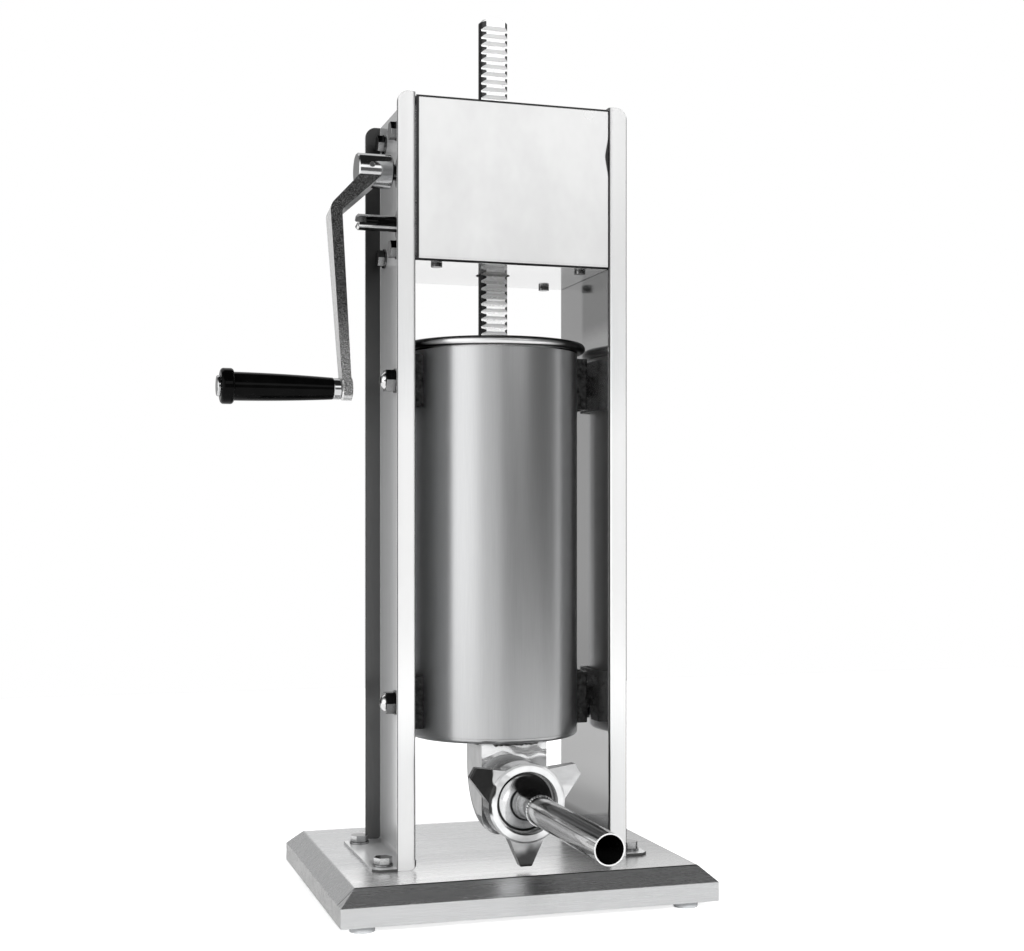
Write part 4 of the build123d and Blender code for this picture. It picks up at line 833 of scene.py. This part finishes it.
polished = {
    "mirrorSteel": {
        "colour": (0.78, 0.785, 0.79), "roughness": (0.04, 0.12), "waves": 0.0002,
        "hollow": (0.012, 0.35, 0.85, 0.02),
    },
    "nutSteel": {
        "colour": (0.84, 0.845, 0.85), "roughness": (0.06, 0.16), "scale": 90, "waves": 0.0002,
        "metallic": 0.6, "hollow": (0.01, 0.35, 0.85, 0.02),
    },
    "elbowSteel": {
        "colour": (0.86, 0.865, 0.87), "roughness": (0.04, 0.1), "scale": 75, "waves": 0.0012,
        "metallic": 0.85, "hollow": (0.012, 0.35, 0.85, 0.02),
    },
    "shaftSteel": {
        "colour": grey(0.9), "roughness": (0.08, 0.18), "scale": 160, "waves": 0.0001,
        "hollow": (0.01, 0.4, 0.95, 0.02),
    },
    "boltSteel": {
        "colour": grey(0.8), "roughness": (0.1, 0.2), "scale": 200, "hollow": (0.008, 0.4, 0.95, 0.02),
    },
    "machinedSteel": {"colour": grey(0.62), "roughness": (0.12, 0.3), "scale": 200},
    "toothSteel": {
        "colour": grey(0.93), "roughness": (0.15, 0.3), "scale": 200,
        "metallic": 0.3, "hollow": (0.003, 0.25, 0.55, 0.02),
    },
    "tubeSteel": {
        "colour": grey(0.97), "roughness": (0.03, 0.08), "waves": 0.0002,
        "metallic": 0.7, "hollow": (0.012, 0.4, 0.9, 0.01),
    },
    "funnelSteel": {
        "colour": (0.85, 0.855, 0.86), "roughness": (0.03, 0.09), "waves": 0.0003,
        "metallic": 0.75, "hollow": (0.006, 0.3, 0.75, 0.02),
    },
    "bronze": {"colour": (0.6, 0.42, 0.22), "roughness": (0.2, 0.4), "scale": 150},
}
coats = {
    "blackSteel": {
        "dark": grey(0.003), "light": grey(0.02), "roughness": (0.12, 0.3),
        "scale": 260, "depth": 0.0004, "shine": 0.15,
    },
    "weldSteel": {
        "dark": grey(0.02), "light": grey(0.25), "roughness": (0.2, 0.45), "scale": 700, "depth": 0.0003,
    },
    "blackPlastic": {
        "dark": grey(0.001), "light": grey(0.002), "roughness": (0.05, 0.1),
        "scale": 80, "depth": 0.00002, "shine": 0.08,
    },
    "greyRubber": {
        "dark": (0.42, 0.43, 0.44), "light": (0.5, 0.51, 0.52), "roughness": (0.5, 0.7),
        "scale": 300, "depth": 0.0001,
    },
    "paleSilicone": {
        "dark": (0.7, 0.7, 0.68), "light": (0.8, 0.8, 0.78), "roughness": (0.4, 0.6),
        "scale": 200, "depth": 0.00005,
    },
}
castArm = {
    "flat": (0, 0.985, -0.174),  # across the arm's broad faces, left as cast
    "turn": (0.55, 0.75),  # how squarely a face lies that way: ground edge, then cast
    "dark": grey(0.01),
    "light": grey(0.17),
    "ground": grey(0.97),
    "hazyGround": grey(0.776),
    "scale": 420.0,
    "pits": {"Scale": 1300.0, "Detail": 3.0, "Roughness": 0.7},
    "contrast": (0.42, 0.66),
    "metallic": (0.4, 0.55),  # ground, then cast
    "roughness": (0.14, 0.36),
    "pitDepth": 0.0004,
    "waveDepth": 0.0001,
}
spigot = {"colour": grey(0.6), "roughness": (0.14, 0.3), "pitch": 0.003, "depth": 0.0006, "scale": 200.0}
finishes = {
    "castArm": castAndGround("castArm", castArm),
    "spigotSteel": threadedSteel("spigotSteel", spigot),
}
for makeFinish, family in ((brushedSteel, brushed), (polishedSteel, polished), (plainCoat, coats)):
    for name, values in family.items():
        finishes[name] = makeFinish(name, **values)


def repaint(finish, makeMask, level, metallic=None, roughness=None):
    tree = finishes[finish].node_tree
    shader = tree.nodes["Principled BSDF"]
    place = addNode(tree, "ShaderNodeTexCoord")
    colour = shader.inputs["Base Color"].links[0].from_socket
    mask = makeMask(tree, place)
    link(tree, tinted(tree, colour, mask, grey(level)), shader.inputs["Base Color"])
    if metallic is not None:
        usual = shader.inputs["Metallic"].default_value
        link(tree, smoothStep(tree, mask, 0.0, 1.0, usual, metallic), shader.inputs["Metallic"])
    if roughness is not None:
        usual = shader.inputs["Roughness"].links[0].from_socket
        kept = times(tree, usual, mathNode(tree, "SUBTRACT", 1.0, mask))
        link(tree, mathNode(tree, "ADD", kept, times(tree, mask, roughness)), shader.inputs["Roughness"])


# painted shade and painted light, some with a change of finish: a later one lies over an earlier one
# painted shade on the rear flanges, the webs and the flange edges, painted light in the middle of the front
# flanges; the inner web is also made more mirror-like
repaint("columnSteel", behindWeb, 0.1)
repaint("columnSteel", behindTop, 0.012)
repaint("columnSteel", flangeTop, 0.66)
repaint("columnSteel", flangeMiddle, 0.99)
repaint("columnSteel", outerWebTop, 0.3)
repaint("columnSteel", innerWeb, 0.6, metallic=0.9, roughness=0.1)
repaint("columnSteel", innerWebFoot, 0.12)
repaint("columnSteel", flangeEdges, 0.06)
repaint("columnSteel", innerWebTop, 0.14)
# painted light on the deck's front, painted shade to its right, on the left skirt and along the front crease
repaint("deckSteel", deckFront, 0.98)
repaint("deckSteel", deckRight, 0.35)
repaint("deckSteel", leftSkirt, 0.3)
repaint("deckSteel", deckCrease, 0.05)
# painted highlight on the bead, then painted shade along its edges
repaint("barrelSteel", wholeBead, 0.95)
repaint("barrelSteel", barrelRim, 0.02)
# painted light under the teeth, which are also made non-metallic there; painted shade on their sides
repaint("toothSteel", toothUndersides, 0.95, metallic=0.0)
repaint("toothSteel", toothSides, 0.02)
# painted shade on shafts, acorn nuts and bolts, with painted highlight bands where they turn up, down or
# sideways
repaint("shaftSteel", paintedBands, 0.015)
repaint("boltSteel", paintedBands, 0.07)
# painted dark reflection stripes on the tube and painted shade inside it
repaint("tubeSteel", tubeShadow, 0.02)
# painted dark reflections on the funnel
repaint("funnelSteel", funnelShadow, 0.02)
# painted dark reflection on the wing nut's lower lobe
repaint("nutSteel", lowerLobe, 0.02)
# painted sheen in flecks towards the arm's foot
repaint("castArm", lowerArm, 0.6)
# painted light on the cover's underside, which is also made mirror-like; painted shade along its border
repaint("coverSteel", underCover, 0.98, metallic=0.7, roughness=0.1)
repaint("coverSteel", coverBorder, 0.02)
# painted shade along the edges of polished pieces, where they turn away
rims = {
    "mirrorSteel": 0.03,
    "shaftSteel": 0.01,
    "boltSteel": 0.01,
    "elbowSteel": 0.04,
    "nutSteel": 0.05,
    "tubeSteel": 0.01,
}
for name, level in rims.items():
    repaint(name, rim, level)
# painted dark reflection on the wing nut's left lobe
repaint("nutSteel", leftLobe, 0.03)

wornBy = {
    "columnSteel": ["column_left", "column_right", "housing_top_plate", "foot_gussets"],
    "deckSteel": ["base_pan"],
    "barrelSteel": ["cylinder_barrel", "cylinder_floor"],
    "coverSteel": ["housing_cover"],
    "nutSteel": ["wing_nut"],
    "elbowSteel": ["outlet_elbow"],
    "tubeSteel": ["stuffing_tube"],
    "funnelSteel": ["tube_funnel"],
    "mirrorSteel": [
        "column_foot_bolts", "column_foot_washers", "grip_ferrule", "hub_pin", "grip_spindle",
        "crank_hub", "hanging_pins", "air_valve", "piston_disc",
    ],
    "blackSteel": [
        "hanger_upper_left", "hanger_upper_right", "hanger_lower_left", "hanger_lower_right", "pin_bushes",
    ],
    "boltSteel": [
        "column_foot_nuts", "gearbox_bolts", "gearbox_washers", "cover_screws", "foot_screws", "foot_nuts",
        "pin_washers", "piston_screw", "piston_washer", "fast_gear_pins", "slow_gear_pin",
        "fast_shaft_rings", "slow_shaft_rings",
    ],
    "toothSteel": ["rack_bar"],
    "shaftSteel": ["acorn_nuts", "fast_shaft", "slow_shaft", "shaft_bushes_left", "shaft_bushes_right"],
    "machinedSteel": [
        "rack_pinion", "large_gear", "small_pinion", "gearbox_floor", "gearbox_roof",
        "gearbox_cheek_left", "gearbox_cheek_right",
    ],
    "bronze": ["rack_bushes"],
    "castArm": ["crank_arm"],
    "spigotSteel": ["outlet_spigot"],
    "blackPlastic": ["crank_grip", "grip_cap"],
    "greyRubber": ["rubber_feet"],
    "paleSilicone": ["piston_seal", "tube_gasket"],
}
for finish, wearers in wornBy.items():
    for wearer in wearers:
        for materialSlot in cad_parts[wearer].material_slots:
            materialSlot.material = finishes[finish]
print("finishes on the CAD pieces")

# new pieces: the weld beads under the cylinder's floor and at the tube's neck

def beadAlong(name, path, bead, finish):
    mesh = bmesh.new()
    rings = []
    count = len(path)
    for index, (point, outward) in enumerate(path):
        ahead = (path[(index + 1) % count][0] - path[index - 1][0]).normalized()
        upward = ahead.cross(outward).normalized()
        ripple = bead["ripple"] * math.sin(2 * math.pi * bead["ripples"] * index / count)
        ring = []
        for step in range(bead["sides"]):
            turn = 2 * math.pi * step / bead["sides"]
            spoke = outward * math.cos(turn) + upward * math.sin(turn)
            rough = noise.noise((point + spoke * bead["radius"]) * bead["roughScale"]) * bead["rough"]
            ring.append(mesh.verts.new(point + spoke * (bead["radius"] + rough + ripple)))
        rings.append(ring)
    for index in range(count):
        near, far = rings[index], rings[(index + 1) % count]
        for step in range(bead["sides"]):
            after = (step + 1) % bead["sides"]
            mesh.faces.new((near[step], near[after], far[after], far[step]))
    bmesh.ops.recalc_face_normals(mesh, faces=mesh.faces)
    data = bpy.data.meshes.new(name)
    mesh.to_mesh(data)
    mesh.free()
    data.shade_smooth()
    data.materials.append(finish)
    piece = bpy.data.objects.new(name, data)
    bpy.context.collection.objects.link(piece)
    return piece


def loopAround(centre, across, away, halfWidth, halfDepth, corner, count):
    total = 4 * (halfWidth + halfDepth - 2 * corner) + 2 * math.pi * corner
    path = []
    for index in range(count):
        travelled = total * index / count
        for number in range(4):  # one straight side and one rounded corner each
            turn = math.pi / 2 * number
            forward = across * math.cos(turn) + away * math.sin(turn)
            side = across * math.sin(turn) - away * math.cos(turn)
            half = (halfWidth if number % 2 == 0 else halfDepth) - corner
            reach = halfDepth if number % 2 == 0 else halfWidth
            if travelled <= 2 * half:
                path.append((centre + forward * (travelled - half) + side * reach, side))
                break
            travelled -= 2 * half
            if travelled <= math.pi / 2 * corner:
                bend = travelled / corner
                outward = side * math.cos(bend) + forward * math.sin(bend)
                path.append((centre + forward * half + side * (reach - corner) + outward * corner, outward))
                break
            travelled -= math.pi / 2 * corner
    return path


underWeld = {
    "sides": 10,
    "radius": 0.0017,
    "rough": 0.0009,
    "roughScale": 260,
    "ripple": 0.00025,
    "ripples": 46,
    "corner": 0.015,
    "steps": 420,
    "drop": 0.0006,  # below the cylinder's floor
}
elbowLow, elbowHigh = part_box("outlet_elbow")
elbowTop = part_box("cylinder_floor")[0].z
elbowMiddle = Vector((
    (elbowLow.x + elbowHigh.x) / 2,
    (elbowLow.y + elbowHigh.y) / 2,
    elbowTop - underWeld["drop"],
))
elbowLoop = loopAround(
    elbowMiddle, Vector((1, 0, 0)), Vector((0, 1, 0)),
    (elbowHigh.x - elbowLow.x) / 2, (elbowHigh.y - elbowLow.y) / 2, underWeld["corner"], underWeld["steps"],
)
weldBead = beadAlong("under_weld", elbowLoop, underWeld, finishes["weldSteel"])
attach(weldBead, "stand")

neckWeld = {
    "sides": 10,
    "radius": 0.0011,
    "rough": 0.0004,
    "roughScale": 500,
    "ripple": 0.00018,
    "ripples": 34,
    "steps": 240,
    "gap": 0.0004,  # behind the tube's rear end
}
tubeRadius = (tubeHigh.x - tubeLow.x) / 2
neckMiddle = Vector((axisX, tubeHigh.y + neckWeld["gap"], (tubeLow.z + tubeHigh.z) / 2))
neckLoop = loopAround(
    neckMiddle, Vector((1, 0, 0)), Vector((0, 0, 1)),
    tubeRadius, tubeRadius, tubeRadius, neckWeld["steps"],
)
neckBead = beadAlong("neck_weld", neckLoop, neckWeld, finishes["mirrorSteel"])
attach(neckBead, "stuffing_tube")
print("weld beads")

bpy.context.scene.view_settings.view_transform = "Standard"
